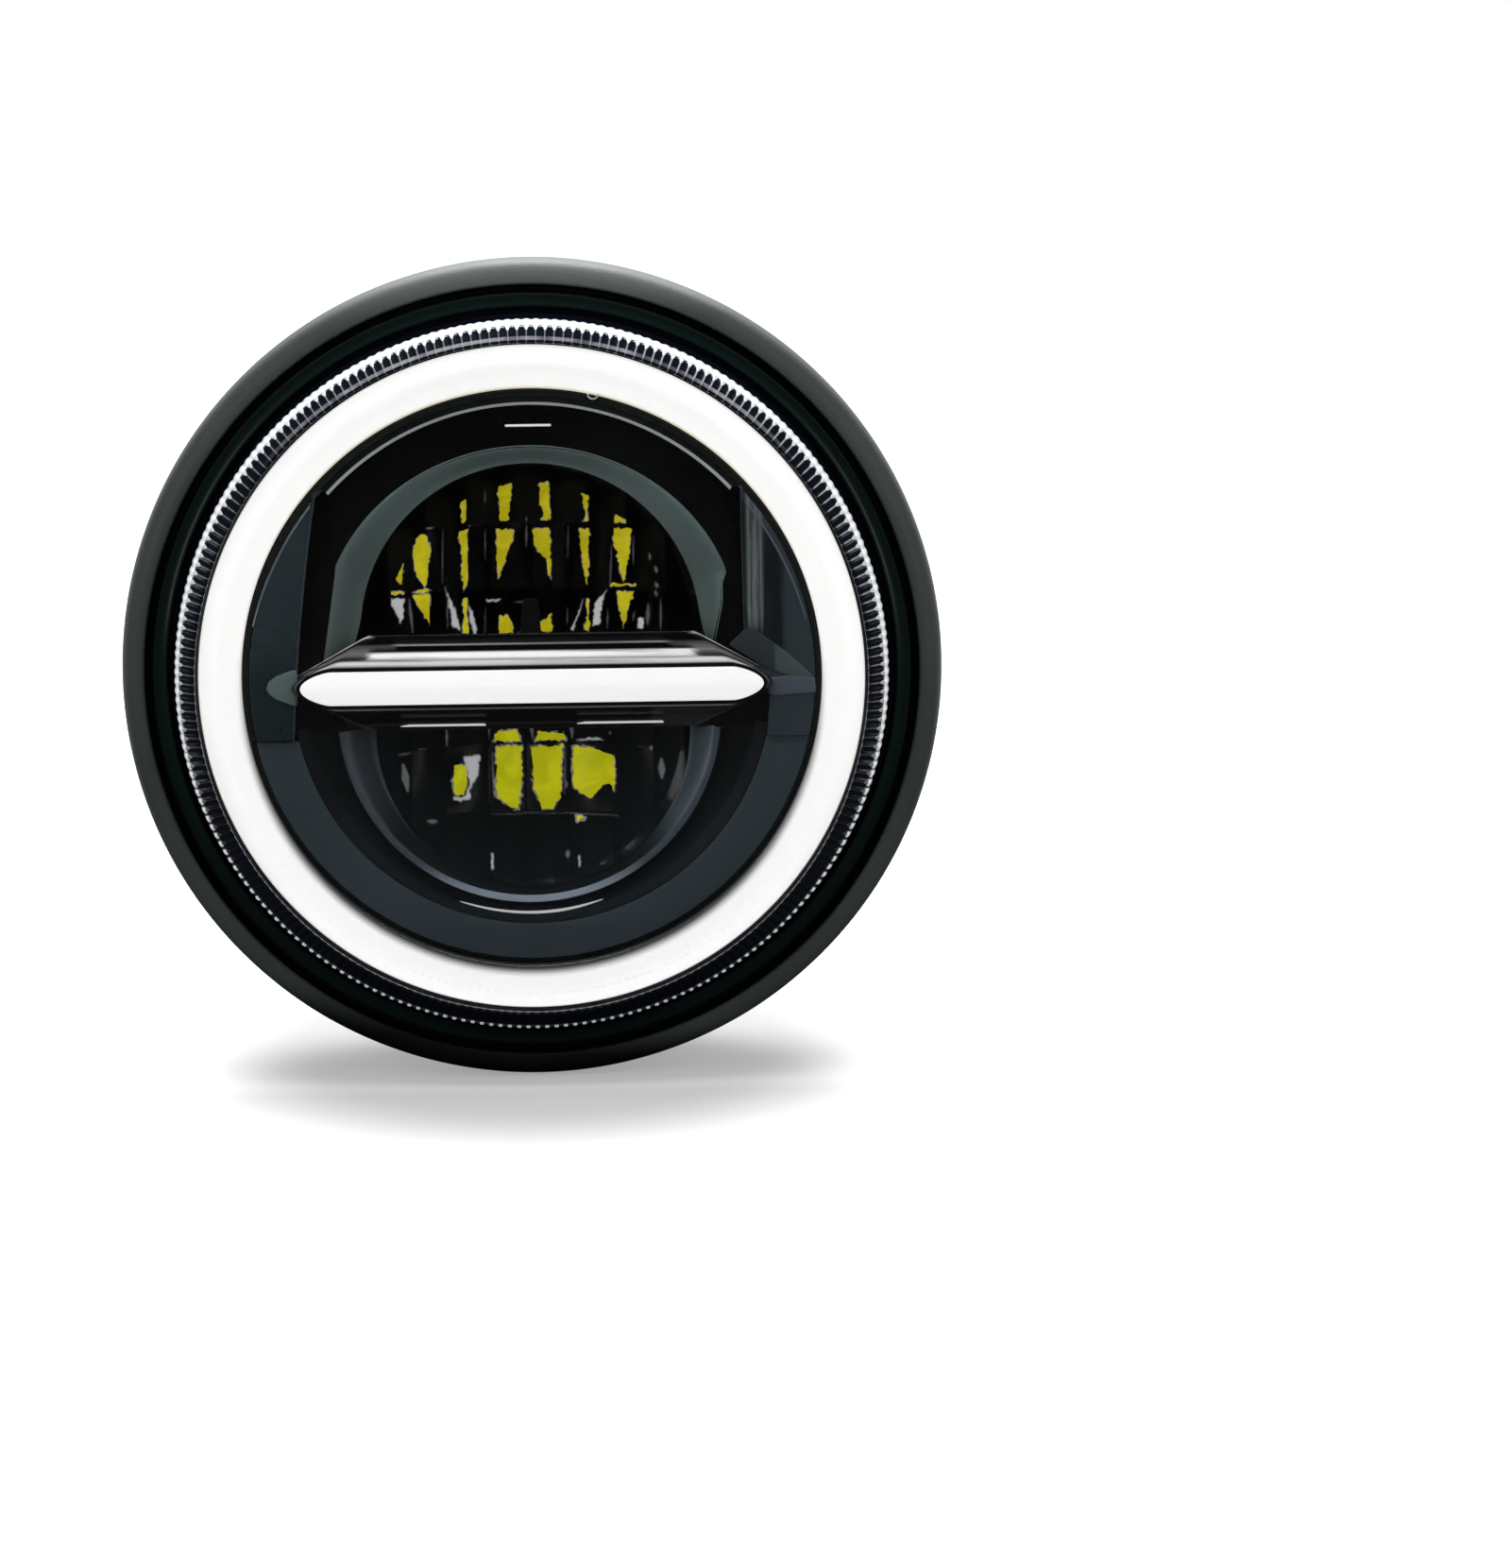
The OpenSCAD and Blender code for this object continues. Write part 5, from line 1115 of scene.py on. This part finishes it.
def make_reflector(name, node, finish, bowl, columns, rows, patches, wedges, lines):
    """A half bowl of pillow-shaped facets between the given column and row edges. bowl gives the
    height of its centre, its reach, its radius, its opening, its cut edge and whether it is the
    upper one."""
    zc, reach, sphere_r, opening, z_edge, up = bowl
    centre_d = 10.0 + math.sqrt(sphere_r**2 - (opening + 1.3) ** 2)
    span = math.sqrt(reach**2 - (z_edge - zc) ** 2)

    def pillow(x, z):
        def share(value, edges):
            for low, high in zip(edges, edges[1:]):
                if low <= value < high:
                    return (2 * value - low - high) / (high - low)
            return 0.0

        u, v = share(x, columns), share(z, rows)
        return 1.25 * (1 - u * u) + 0.5 * (1 - v * v)

    across, along = 300, 150
    bm = bmesh.new()
    painted_led_reflection = bm.verts.layers.float.new("painted_led_reflection")
    glint = bm.verts.layers.float.new("glint")
    grid = []
    for i in range(across + 1):
        x = span * (2 * i / across - 1) * 0.9995
        half = math.sqrt(max(reach**2 - x * x, 0.0))
        far = zc + half if up else zc - half
        column = []
        for k in range(along + 1):
            z = z_edge + (far - z_edge) * k / along
            ball = centre_d - math.sqrt(max(sphere_r**2 - x * x - (z - zc) ** 2, 0))
            fade = held((reach - math.hypot(x, z - zc)) / 2)
            seen_x = x + SHIFT
            vert = bm.verts.new(at(x + SHIFT * fade, z, ball + pillow(x, z) * fade))
            # painted reflections at each vertex: the LEDs' yellow and the glints
            vert[painted_led_reflection] = held(0.5 + most_inside(seen_x, z, patches, 0.5))
            bright = held(0.5 + most_inside(seen_x, z, wedges, 0.4) * 3)
            thin = max((line_share(seen_x, z, line) for line in lines), default=-1)
            vert[glint] = max(bright, 0.4 * held(0.5 + thin * 3))
            column.append(vert)
        grid.append(column)
    for i in range(across):
        for k in range(along):
            bm.faces.new((grid[i][k], grid[i + 1][k], grid[i + 1][k + 1], grid[i][k + 1]))
    mesh = bpy.data.meshes.new(name)
    bmesh.ops.recalc_face_normals(bm, faces=bm.faces)
    bm.to_mesh(mesh)
    bm.free()
    piece = add_object(name, mesh, finish)
    solid = piece.modifiers.new("wall", "SOLIDIFY")
    solid.thickness = 0.6 * MM
    solid.offset = -1
    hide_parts(node)


# shapes of the reflections painted on the facets, as corners (x, z) in mm: the LEDs' yellow, broad glints,
# thin ones
UPPER_PATCHES = [
    [(-7.8, 44.0), (-4.4, 44.7), (-4.4, 41.6), (-4.9, 38.8), (-5.1, 34.7), (-7.6, 34.8)],
    [(2.1, 44.7), (4.7, 44.7), (4.9, 34.8), (2.3, 34.9), (3.0, 36.5), (2.2, 39.3)],
    [(-16.9, 40.1), (-15.1, 40.9), (-15.7, 36.6), (-16.0, 34.6), (-16.8, 34.6)],
    [(12.2, 42.2), (14.4, 41.2), (13.8, 37.7), (13.9, 34.8), (12.5, 34.8), (13.4, 36.3), (12.8, 38.8)],
    [(20.3, 37.0), (23.3, 34.8), (20.1, 34.7)],
    [(-26.8, 32.7), (-25.1, 31.9), (-24.2, 29.1), (-24.5, 25.4), (-25.8, 18.9), (-27.8, 22.1),
     (-28.5, 25.9), (-28.3, 29.6)],
    [(-30.7, 25.6), (-31.3, 20.6), (-32.6, 21.5)],
    [(-17.6, 32.4), (-15.2, 32.8), (-15.6, 25.8), (-15.5, 20.5), (-16.8, 17.2), (-17.2, 20.7), (-16.8, 25.9)],
    [(-8.5, 32.6), (-4.1, 32.5), (-4.3, 29.6), (-6.3, 25.4), (-8.3, 20.0)],
    [(0.4, 32.7), (4.9, 32.5), (4.7, 19.6), (3.5, 24.7), (1.4, 26.9), (0.4, 29.1)],
    [(11.6, 32.5), (14.4, 32.6), (14.0, 25.3), (13.7, 18.3), (13.1, 18.2), (12.1, 25.3)],
    [(19.9, 33.2), (24.4, 33.1), (23.9, 26.7), (22.1, 19.4), (21.4, 21.9), (20.8, 27.2), (19.9, 28.8)],
    [(-33.7, 18.9), (-31.0, 18.5), (-31.0, 17.9), (-33.7, 18.0)],
    [(-29.0, 18.0), (-25.8, 18.6), (-24.1, 18.2), (-26.3, 17.6)],
    [(-28.8, 17.1), (-24.4, 17.1), (-24.9, 9.2), (-28.0, 15.3)],
    [(-17.1, 15.4), (-16.0, 15.5), (-16.1, 10.2), (-15.7, 6.8), (-17.2, 7.1), (-16.8, 10.8)],
    [(-8.2, 10.9), (-6.1, 10.8), (-4.5, 8.9), (-4.6, 6.7), (-8.4, 6.7)],
    [(4.9, 11.3), (5.1, 6.7), (1.3, 6.8), (0.9, 8.4)],
    [(13.1, 15.0), (13.8, 15.0), (14.1, 7.1), (12.2, 7.3), (13.0, 11.2)],
    [(20.4, 17.1), (24.9, 17.1), (23.4, 12.5), (21.8, 7.9)],
    [(19.0, 19.2), (25.3, 19.1), (25.3, 18.6), (19.0, 18.5)],
]
UPPER_WEDGES = [
    [(-34.0, 17.1), (-30.8, 16.6), (-31.1, 11.5), (-31.7, 10.7), (-33.5, 14.7)],
    [(-20.8, 17.7), (-18.9, 13.5), (-17.6, 7.8), (-19.5, 8.7)],
    [(-15.4, 14.5), (-14.2, 12.1), (-13.1, 5.9), (-14.0, 5.9), (-15.2, 11.1)],
    [(12.2, 14.8), (11.2, 11.2), (9.9, 7.3), (9.2, 7.3)],
    [(18.3, 17.5), (17.4, 15.4), (16.5, 8.7), (14.7, 8.3), (15.3, 14.0)],
    [(25.9, 11.2), (27.2, 10.8), (26.7, 8.2), (25.4, 8.3)],
    [(-11.1, 15.2), (-7.7, 14.9), (-8.0, 14.4), (-11.0, 14.5)],
]
UPPER_LINES = [
    (-21.2, 33.2, -21.6, 19.9, 0.4), (-20.6, 15.7, -20.6, 8.5, 0.4), (-10.7, 43.1, -10.9, 39.2, 0.3),
    (-11.0, 33.0, -11.2, 25.1, 0.35), (-11.4, 13.1, -11.6, 6.0, 0.35), (-1.0, 33.6, -1.2, 28.0, 0.6),
    (-1.0, 36.0, -1.0, 34.6, 0.4), (9.1, 33.3, 8.8, 25.3, 0.35), (8.6, 12.7, 8.4, 8.6, 0.35),
    (19.5, 28.8, 19.0, 18.1, 0.45), (18.4, 12.9, 18.2, 7.8, 0.4), (24.9, 31.6, 24.8, 24.1, 0.45),
    (28.6, 27.2, 28.7, 25.6, 0.6), (30.0, 24.1, 30.2, 22.5, 0.9), (30.1, 20.0, 30.3, 18.6, 0.9),
    (29.9, 17.9, 30.1, 16.4, 0.9), (31.1, 15.7, 31.0, 8.5, 0.5), (28.1, 14.4, 27.9, 9.3, 0.9),
    (25.0, 12.4, 24.5, 10.0, 0.5), (-4.2, 14.2, -0.7, 14.2, 0.5), (-29.7, 16.5, -29.0, 8.2, 0.8),
    (-21.0, 19.0, -20.6, 15.7, 0.5), (-25.5, 33.8, -23.2, 34.0, 0.5),
]
LOWER_PATCHES = [
    [(-9.0, -16.5), (-7.1, -16.9), (-4.5, -16.4), (-3.7, -19.3), (-9.8, -19.2)],
    [(1.1, -16.9), (3.4, -17.5), (6.8, -17.3), (7.5, -19.3), (0.3, -19.3)],
    [(-9.1, -20.7), (-3.3, -20.7), (-3.3, -28.1), (-4.2, -35.3), (-5.5, -35.3), (-9.3, -32.0)],
    [(-0.7, -21.0), (6.7, -20.6), (6.0, -32.9), (4.1, -35.4), (1.7, -35.3), (-0.1, -30.6)],
    [(-19.4, -24.4), (-16.8, -24.6), (-16.4, -28.4), (-17.3, -31.5), (-19.5, -31.4), (-19.8, -28.2)],
    [(9.5, -20.8), (13.9, -21.0), (19.4, -22.8), (19.7, -31.2), (18.1, -29.4), (16.2, -29.8),
     (13.8, -32.7), (12.1, -32.3), (9.5, -30.0)],
    [(10.1, -36.8), (12.2, -37.2), (10.4, -38.3)],
]
LOWER_WEDGES = [
    [(-17.4, -22.7), (-13.5, -22.3), (-14.0, -27.2), (-15.6, -29.8), (-16.1, -32.8), (-19.6, -32.7),
     (-19.4, -31.9), (-16.9, -31.8), (-15.9, -28.4)],
    [(10.1, -19.2), (13.0, -18.5), (15.4, -18.3), (16.8, -19.0)],
    [(10.6, -45.4), (10.9, -45.4), (11.0, -47.6), (10.5, -47.6)],
    [(-10.8, -44.7), (-10.2, -44.7), (-10.0, -48.2), (-10.6, -48.2)],
]
LOWER_LINES = [
    (9.2, -14.5, 9.4, -18.8, 0.9), (-11.0, -14.5, -11.0, -19.0, 0.8), (-11.0, -21.0, -11.1, -34.3, 0.5),
    (-21.2, -15.5, -21.2, -19.8, 0.8), (7.7, -44.8, 7.6, -46.0, 1.2), (-10.3, -36.5, 5.1, -36.5, 0.2),
    (5.1, -36.5, 20.2, -36.5, 0.2), (-33.1, -20.5, -30.1, -20.6, 0.4), (-31.8, -23.0, -30.8, -29.0, 1.6),
    (30.9, -22.5, 30.9, -26.5, 1.6), (-26.0, -36.6, -23.9, -36.9, 0.9), (18.3, -16.9, 18.3, -17.6, 0.6),
    (28.3, -19.7, 28.3, -20.6, 1.0), (7.3, -29.0, 7.5, -30.4, 0.8), (-0.6, -14.5, -0.2, -19.0, 0.8),
    (-10.1, -22.2, -9.9, -32.5, 0.5), (7.3, -21.5, 7.0, -32.0, 0.4),
]


def make_shield():
    """The gloss black glare shield that stands in front of the upper LEDs."""
    outline = [(-6.3, 0.8), (6.3, 0.8), (6.3, 8.8), (2.2, 10.0), (1.9, 14.0), (1.5, 17.8)]
    outline += [(-1.9, 17.8), (-2.3, 14.0), (-2.6, 10.0), (-6.3, 8.8)]
    piece = add_plate("shield", rounded(outline, 0.6), 12.6, 1.6, 0.25, DARK)
    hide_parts("glare_shield")


UPPER_CHROME = reflector_finish("upper_reflector_facets", (0.012, 0.013, 0.012), 1.0,
                                (0.38, 0.33, 0.006), (0.48, 0.42, 0.012), 0.24)
LOWER_CHROME = reflector_finish("lower_reflector_facets", (0.008, 0.0115, 0.0145), 0.0,
                                (0.4, 0.4, 0.004), (0.5, 0.5, 0.006), 0.05)
make_frame()
make_bar()
make_reflector("upper_facets", "upper_reflector", UPPER_CHROME, (OPEN_Z, 41.8, 47.0, 40.6, 0.9, True),
               [-42, -33.4, -24.0, -14.4, -4.8, 4.8, 14.4, 24.0, 33.4, 42], [0, 17.7, 34.2, 52],
               UPPER_PATCHES, UPPER_WEDGES, UPPER_LINES)
make_reflector("lower_facets", "lower_reflector", LOWER_CHROME, (LOW_Z, 38.4, 43.0, 37.2, -3.5, False),
               [-39, -28.7, -20.6, -10.1, -1.1, 9.4, 19.9, 30.0, 39], [-53, -35.8, -19.9, -3],
               LOWER_PATCHES, LOWER_WEDGES, LOWER_LINES)
make_shield()
make_gate_mark()

# ---------------------------------------------------------------- cord and plug


def smooth_path(points, steps=10):
    """A Catmull-Rom curve through points in mm, as metres."""
    knots = [Vector(p) * MM for p in points]
    ends = [knots[0] * 2 - knots[1]] + knots + [knots[-1] * 2 - knots[-2]]
    line = []
    for a, b, c, d in zip(ends, ends[1:], ends[2:], ends[3:]):
        for i in range(steps):
            t = i / steps
            curved = (2 * a - 5 * b + 4 * c - d) * t * t + (3 * b - 3 * c + d - a) * t**3
            line.append(0.5 * (2 * b + (c - a) * t + curved))
    line.append(knots[-1])
    return line


def ahead_at(line, i):
    """The direction in which a line runs at its point i."""
    return (line[min(i + 1, len(line) - 1)] - line[max(i - 1, 0)]).normalized()


def tube_along(bm, line, offset, radius, sides=14):
    """Sweeps a round section along a line, each centre moved by its own offset."""
    rings = []
    for i, (point, shift) in enumerate(zip(line, offset)):
        across = shift.normalized()
        up = ahead_at(line, i).cross(across).normalized()
        angles = [2 * math.pi * k / sides for k in range(sides)]
        rings.append([bm.verts.new(point + shift + (across * math.cos(a) + up * math.sin(a)) * radius)
                      for a in angles])
    join_rows(bm, rings, True)
    bm.faces.new(rings[0][::-1])
    bm.faces.new(rings[-1])


def twin_lead(name, line, body):
    """Two round wires side by side, like flat twin cable. They start level and turn, over the first
    stretch, to lie flat on the floor."""
    core, gap, stretch, level = 1.05 * MM, 0.98 * MM, 25.0 * MM, Vector((1, 0, 0))
    shifts, travelled = [], 0.0
    for i, point in enumerate(line):
        ahead = ahead_at(line, i)
        if i:
            travelled += (point - line[i - 1]).length
        flat = ahead.cross(Vector((0, 0, 1)))
        flat = flat.normalized() if flat.length > 0.2 else level
        if travelled < stretch:
            if flat.dot(level) < 0:
                flat = -flat
            flat = level.lerp(flat, ease(travelled / stretch)).normalized()
        if shifts and flat.dot(shifts[-1]) < 0:
            flat = -flat
        flat = (flat - ahead * flat.dot(ahead)).normalized()
        shifts.append(flat * gap)
    bm = bmesh.new()
    for sign in (1, -1):
        tube_along(bm, line, [s * sign for s in shifts], core)
    return add_object(name, finish_mesh(bm, name, 50), CABLE, body)


LEAD_IN = [(0, 18, -38), (0, 22.5, -38.4), (0.3, 26.5, -41), (1, 28.4, -46), (2, 27.5, -52), (2.8, 25.3, -57),
           (3, 24, -62)]
LEAD_OUT = [(3, 24, -62), (2.7, 24.6, -64), (1, 26, -67), (-4, 29, -72), (-11, 31.5, -77), (-19, 33.8, -81),
            (-27, 36.5, -85.5), (-34, 40.5, -90), (-40, 47, -93.8), (-43, 56, -95.9), (-42, 66, -95.9),
            (-38.8, 76, -95.9)]
COIL_AT, COIL_R, COIL_TURNS, COIL_LOW, COIL_HIGH = (-16, 84), 22, 3.5, -95.9, -87.8
TAIL = [(6.4, 76, -88.8), (8.6, 68, -91.8), (14, 62, -94.9), (21.5, 61.5, -95.9), (27.5, 66, -93.4),
        (30, 72.5, -89), (30, 78, -88)]


def coil_points():
    """The coil's own points: clockwise from above, rising a cable's width each turn."""
    steps = int(COIL_TURNS * 24)
    points = []
    for i in range(steps + 1):
        a = math.pi - 2 * math.pi * COIL_TURNS * i / steps
        z = COIL_LOW + (COIL_HIGH - COIL_LOW) * i / steps
        points.append((COIL_AT[0] + COIL_R * math.cos(a), COIL_AT[1] + COIL_R * math.sin(a), z))
    return points


def make_cords():
    inner = twin_lead("lamp_lead_twin", smooth_path(LEAD_IN), "lamp")
    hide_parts("lamp_lead")
    line = smooth_path(LEAD_OUT + coil_points() + TAIL, 4)
    cable = twin_lead("cord_twin", line, "bucket")
    for node in ("cord_lead", "cord_coil", "cord_tail"):
        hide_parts(node)
    return cable, line


def make_plug():
    """The three-way plug's body, with a grip of ridges and a sleeve where the cord enters."""
    middle, size = Vector((30, 90, -88)), Vector((22, 24, 20))
    bm = bmesh.new()
    for vert in bmesh.ops.create_cube(bm, size=1)["verts"]:
        vert.co = (middle + vert.co * (size - Vector((0.8, 0, 0.8)))) * MM
    soften(bm, 1.8, 4)
    for k in range(5):
        for side in (-1, 1):
            ridge = Vector((middle.x + side * (size.x / 2 - 0.5), 82.5 + k * 2.4, middle.z))
            for vert in bmesh.ops.create_cube(bm, size=1)["verts"]:
                vert.co = (ridge + vert.co * Vector((0.9, 1.0, 14))) * MM
    sleeve = bmesh.ops.create_cone(bm, cap_ends=True, segments=48, radius1=3.4 * MM, radius2=4.4 * MM,
                                   depth=4.5 * MM)
    turn = Matrix.Rotation(-math.pi / 2, 3, "X")
    for vert in sleeve["verts"]:
        vert.co = turn @ vert.co + Vector((30, 76.6, -88)) * MM
    piece = add_object("plug_shell", finish_mesh(bm, "plug_shell", 35), COVER, "bucket")
    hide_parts("plug_body")
    return piece


cord, cord_line = make_cords()
plug = make_plug()

# ---------------------------------------------------------------- finishes of the solids

NODE_FINISHES = (
    (BLACK_PAINT, ["trim_ring"]),
    (SURROUND, ["surround_ring"]),
    (BUCKET, ["bucket_shell", "side_boss_left", "side_boss_right"]),
    (STEEL, ["side_insert_left", "side_insert_right"]),
    (BRASS, ["rim_insert_left", "rim_insert_right", "plug_blades"]),
    (RUBBER, ["cable_grommet", "rim_gasket", "cable_gland"]),
    (CABLE, ["lamp_lead", "cord_lead", "cord_coil", "cord_tail"]),
    (PLATED, ["retaining_ring", "ring_screws", "rim_hook", "cover_screws", "spreader_screws"]),
    (SCREW, ["rim_screw_left", "rim_screw_right"]),
    (LENS, ["lens"]),
    (SEAL, ["lens_seal"]),
    (CASTING, ["lamp_housing"]),
    (COVER, ["rear_cover", "breather_vent", "plug_body"]),
    (HALO, ["halo_diffuser"]),
    (BOARD, ["halo_board", "bar_board", "upper_led_board", "lower_led_board", "driver_board"]),
    (LED, ["halo_leds", "bar_leds", "upper_emitters", "lower_emitters"]),
    (SLATE, ["inner_bezel"]),
    (FRAME_PAINTED_REFLECTIONS, ["bar_frame"]),
    (BAR, ["bar_diffuser"]),
    (UPPER_CHROME, ["upper_reflector"]),
    (LOWER_CHROME, ["lower_reflector"]),
    (ALUMINIUM, ["heat_spreader"]),
    (DARK, ["glare_shield", "driver_parts"]),
)
for node_finish, node_names in NODE_FINISHES:
    for node_name in node_names:
        mesh = nodes[node_name].data
        mesh.materials.clear()
        mesh.materials.append(node_finish.material)

# ---------------------------------------------------------------- floor, world and lights

FLOOR_LIFT = 0.22  # glow of the floor near the object, which sets how dark its shadow looks


def make_world():
    """White wherever the background shows; dimmer where it only lights the object or stands behind
    the viewer, so that gloss black stays black."""
    world = bpy.data.worlds.new("studio")
    world.use_nodes = True
    tree = world.node_tree
    path = light_path(tree)
    split = tree.nodes.new("ShaderNodeSeparateXYZ")
    tree.links.new(tree.nodes.new("ShaderNodeTexCoord").outputs["Generated"], split.inputs[0])
    behind = ramp(tree, split.outputs["Y"], 0.2, 0.85, 0.012, 1.0)
    glossy, clear = (product(tree, path[ray], behind) for ray in ("Is Glossy Ray", "Is Transmission Ray"))
    diffuse = product(tree, path["Is Diffuse Ray"], 0.5)
    shown = greatest(tree, path["Is Camera Ray"], glossy, clear, diffuse)
    back = tree.nodes["Background"].inputs
    tree.links.new(shown, back["Strength"])
    back["Color"].default_value = (1, 1, 1, 1)
    bpy.context.scene.world = world


def floor_finish():
    """Pale paper that glows to the viewer, less in an ellipse round the object as a painted shadow, and looks
    dark to reflections from in front of the object.
    """
    finish = Finish("floor_paper", (0.42, 0.42, 0.42), 1.0, Specular_IOR_Level=0.0)
    finish.bump(finish.place(SURFACE, Grain=300.0)["Height"], 0.02)
    tree = finish.tree
    x, y, _ = finish.axis()
    path = light_path(tree)
    # painted shadow: the glow drops in an ellipse round the object, where the real shadow also falls, and is
    # raised a little behind the lamp's front, painted light over the shade there
    near = ramp(tree, from_middle(tree, product(tree, x, 1.45), y), 0.08, 0.165, FLOOR_LIFT, 1.0)
    painted_shadow_glow = math_node(tree, "ADD", near, ramp(tree, y, -0.065, -0.045, 0.0, 0.11))
    shown = greatest(tree, path["Is Camera Ray"], path["Is Transmission Ray"],
                     product(tree, path["Is Glossy Ray"], ramp(tree, y, 0.02, 0.3)))
    glow = tree.nodes.new("ShaderNodeEmission")
    glow.inputs["Color"].default_value = (1, 1, 1, 1)
    tree.links.new(product(tree, shown, painted_shadow_glow), glow.inputs["Strength"])
    add = tree.nodes.new("ShaderNodeAddShader")
    tree.links.new(finish.shader.outputs[0], add.inputs[0])
    tree.links.new(glow.outputs[0], add.inputs[1])
    flag = tree.nodes.new("ShaderNodeBsdfDiffuse")
    flag.inputs["Color"].default_value = (0.02, 0.02, 0.02, 1)
    flagged = greatest(tree, product(tree, path["Is Glossy Ray"], ramp(tree, y, 0.3, 0.02)),
                       product(tree, path["Is Diffuse Ray"], 0.75))
    finish.show(flagged, add.outputs[0], flag.outputs[0])
    return finish


def make_floor():
    """Pale floor. It runs into the white background all round and keeps the object's shadow, widened by a
    painted shadow round it.
    """
    bm = bmesh.new()
    bmesh.ops.create_grid(bm, x_segments=8, y_segments=8, size=6.0)
    mesh = bpy.data.meshes.new("floor")
    bm.to_mesh(mesh)
    bm.free()
    mesh.materials.append(floor_finish().material)
    floor = bpy.data.objects.new("floor", mesh)
    bpy.context.scene.collection.objects.link(floor)
    floor.location = (0, 0, FLOOR_Z * MM - 0.0002)


def area_light(name, place, width, height, power):
    """A softbox that points at the object."""
    data = bpy.data.lights.new(name, "AREA")
    data.shape = "RECTANGLE"
    data.size, data.size_y = width, height
    data.energy = power
    light = bpy.data.objects.new(name, data)
    bpy.context.scene.collection.objects.link(light)
    light.location = place
    light.rotation_mode = "QUATERNION"
    light.rotation_quaternion = (-Vector(place)).to_track_quat("-Z", "Y")


make_world()
make_floor()
area_light("back_softbox", (0, 0.75, 1.1), 0.9, 0.6, 26)
area_light("front_softbox", (0, -0.5, 1.2), 0.9, 0.4, 7)
area_light("left_softbox", (-1.3, -0.9, 0.5), 0.5, 1.0, 5)
area_light("right_softbox", (1.3, -0.9, 0.5), 0.5, 1.0, 5)
bpy.context.scene.view_settings.view_transform = "Standard"
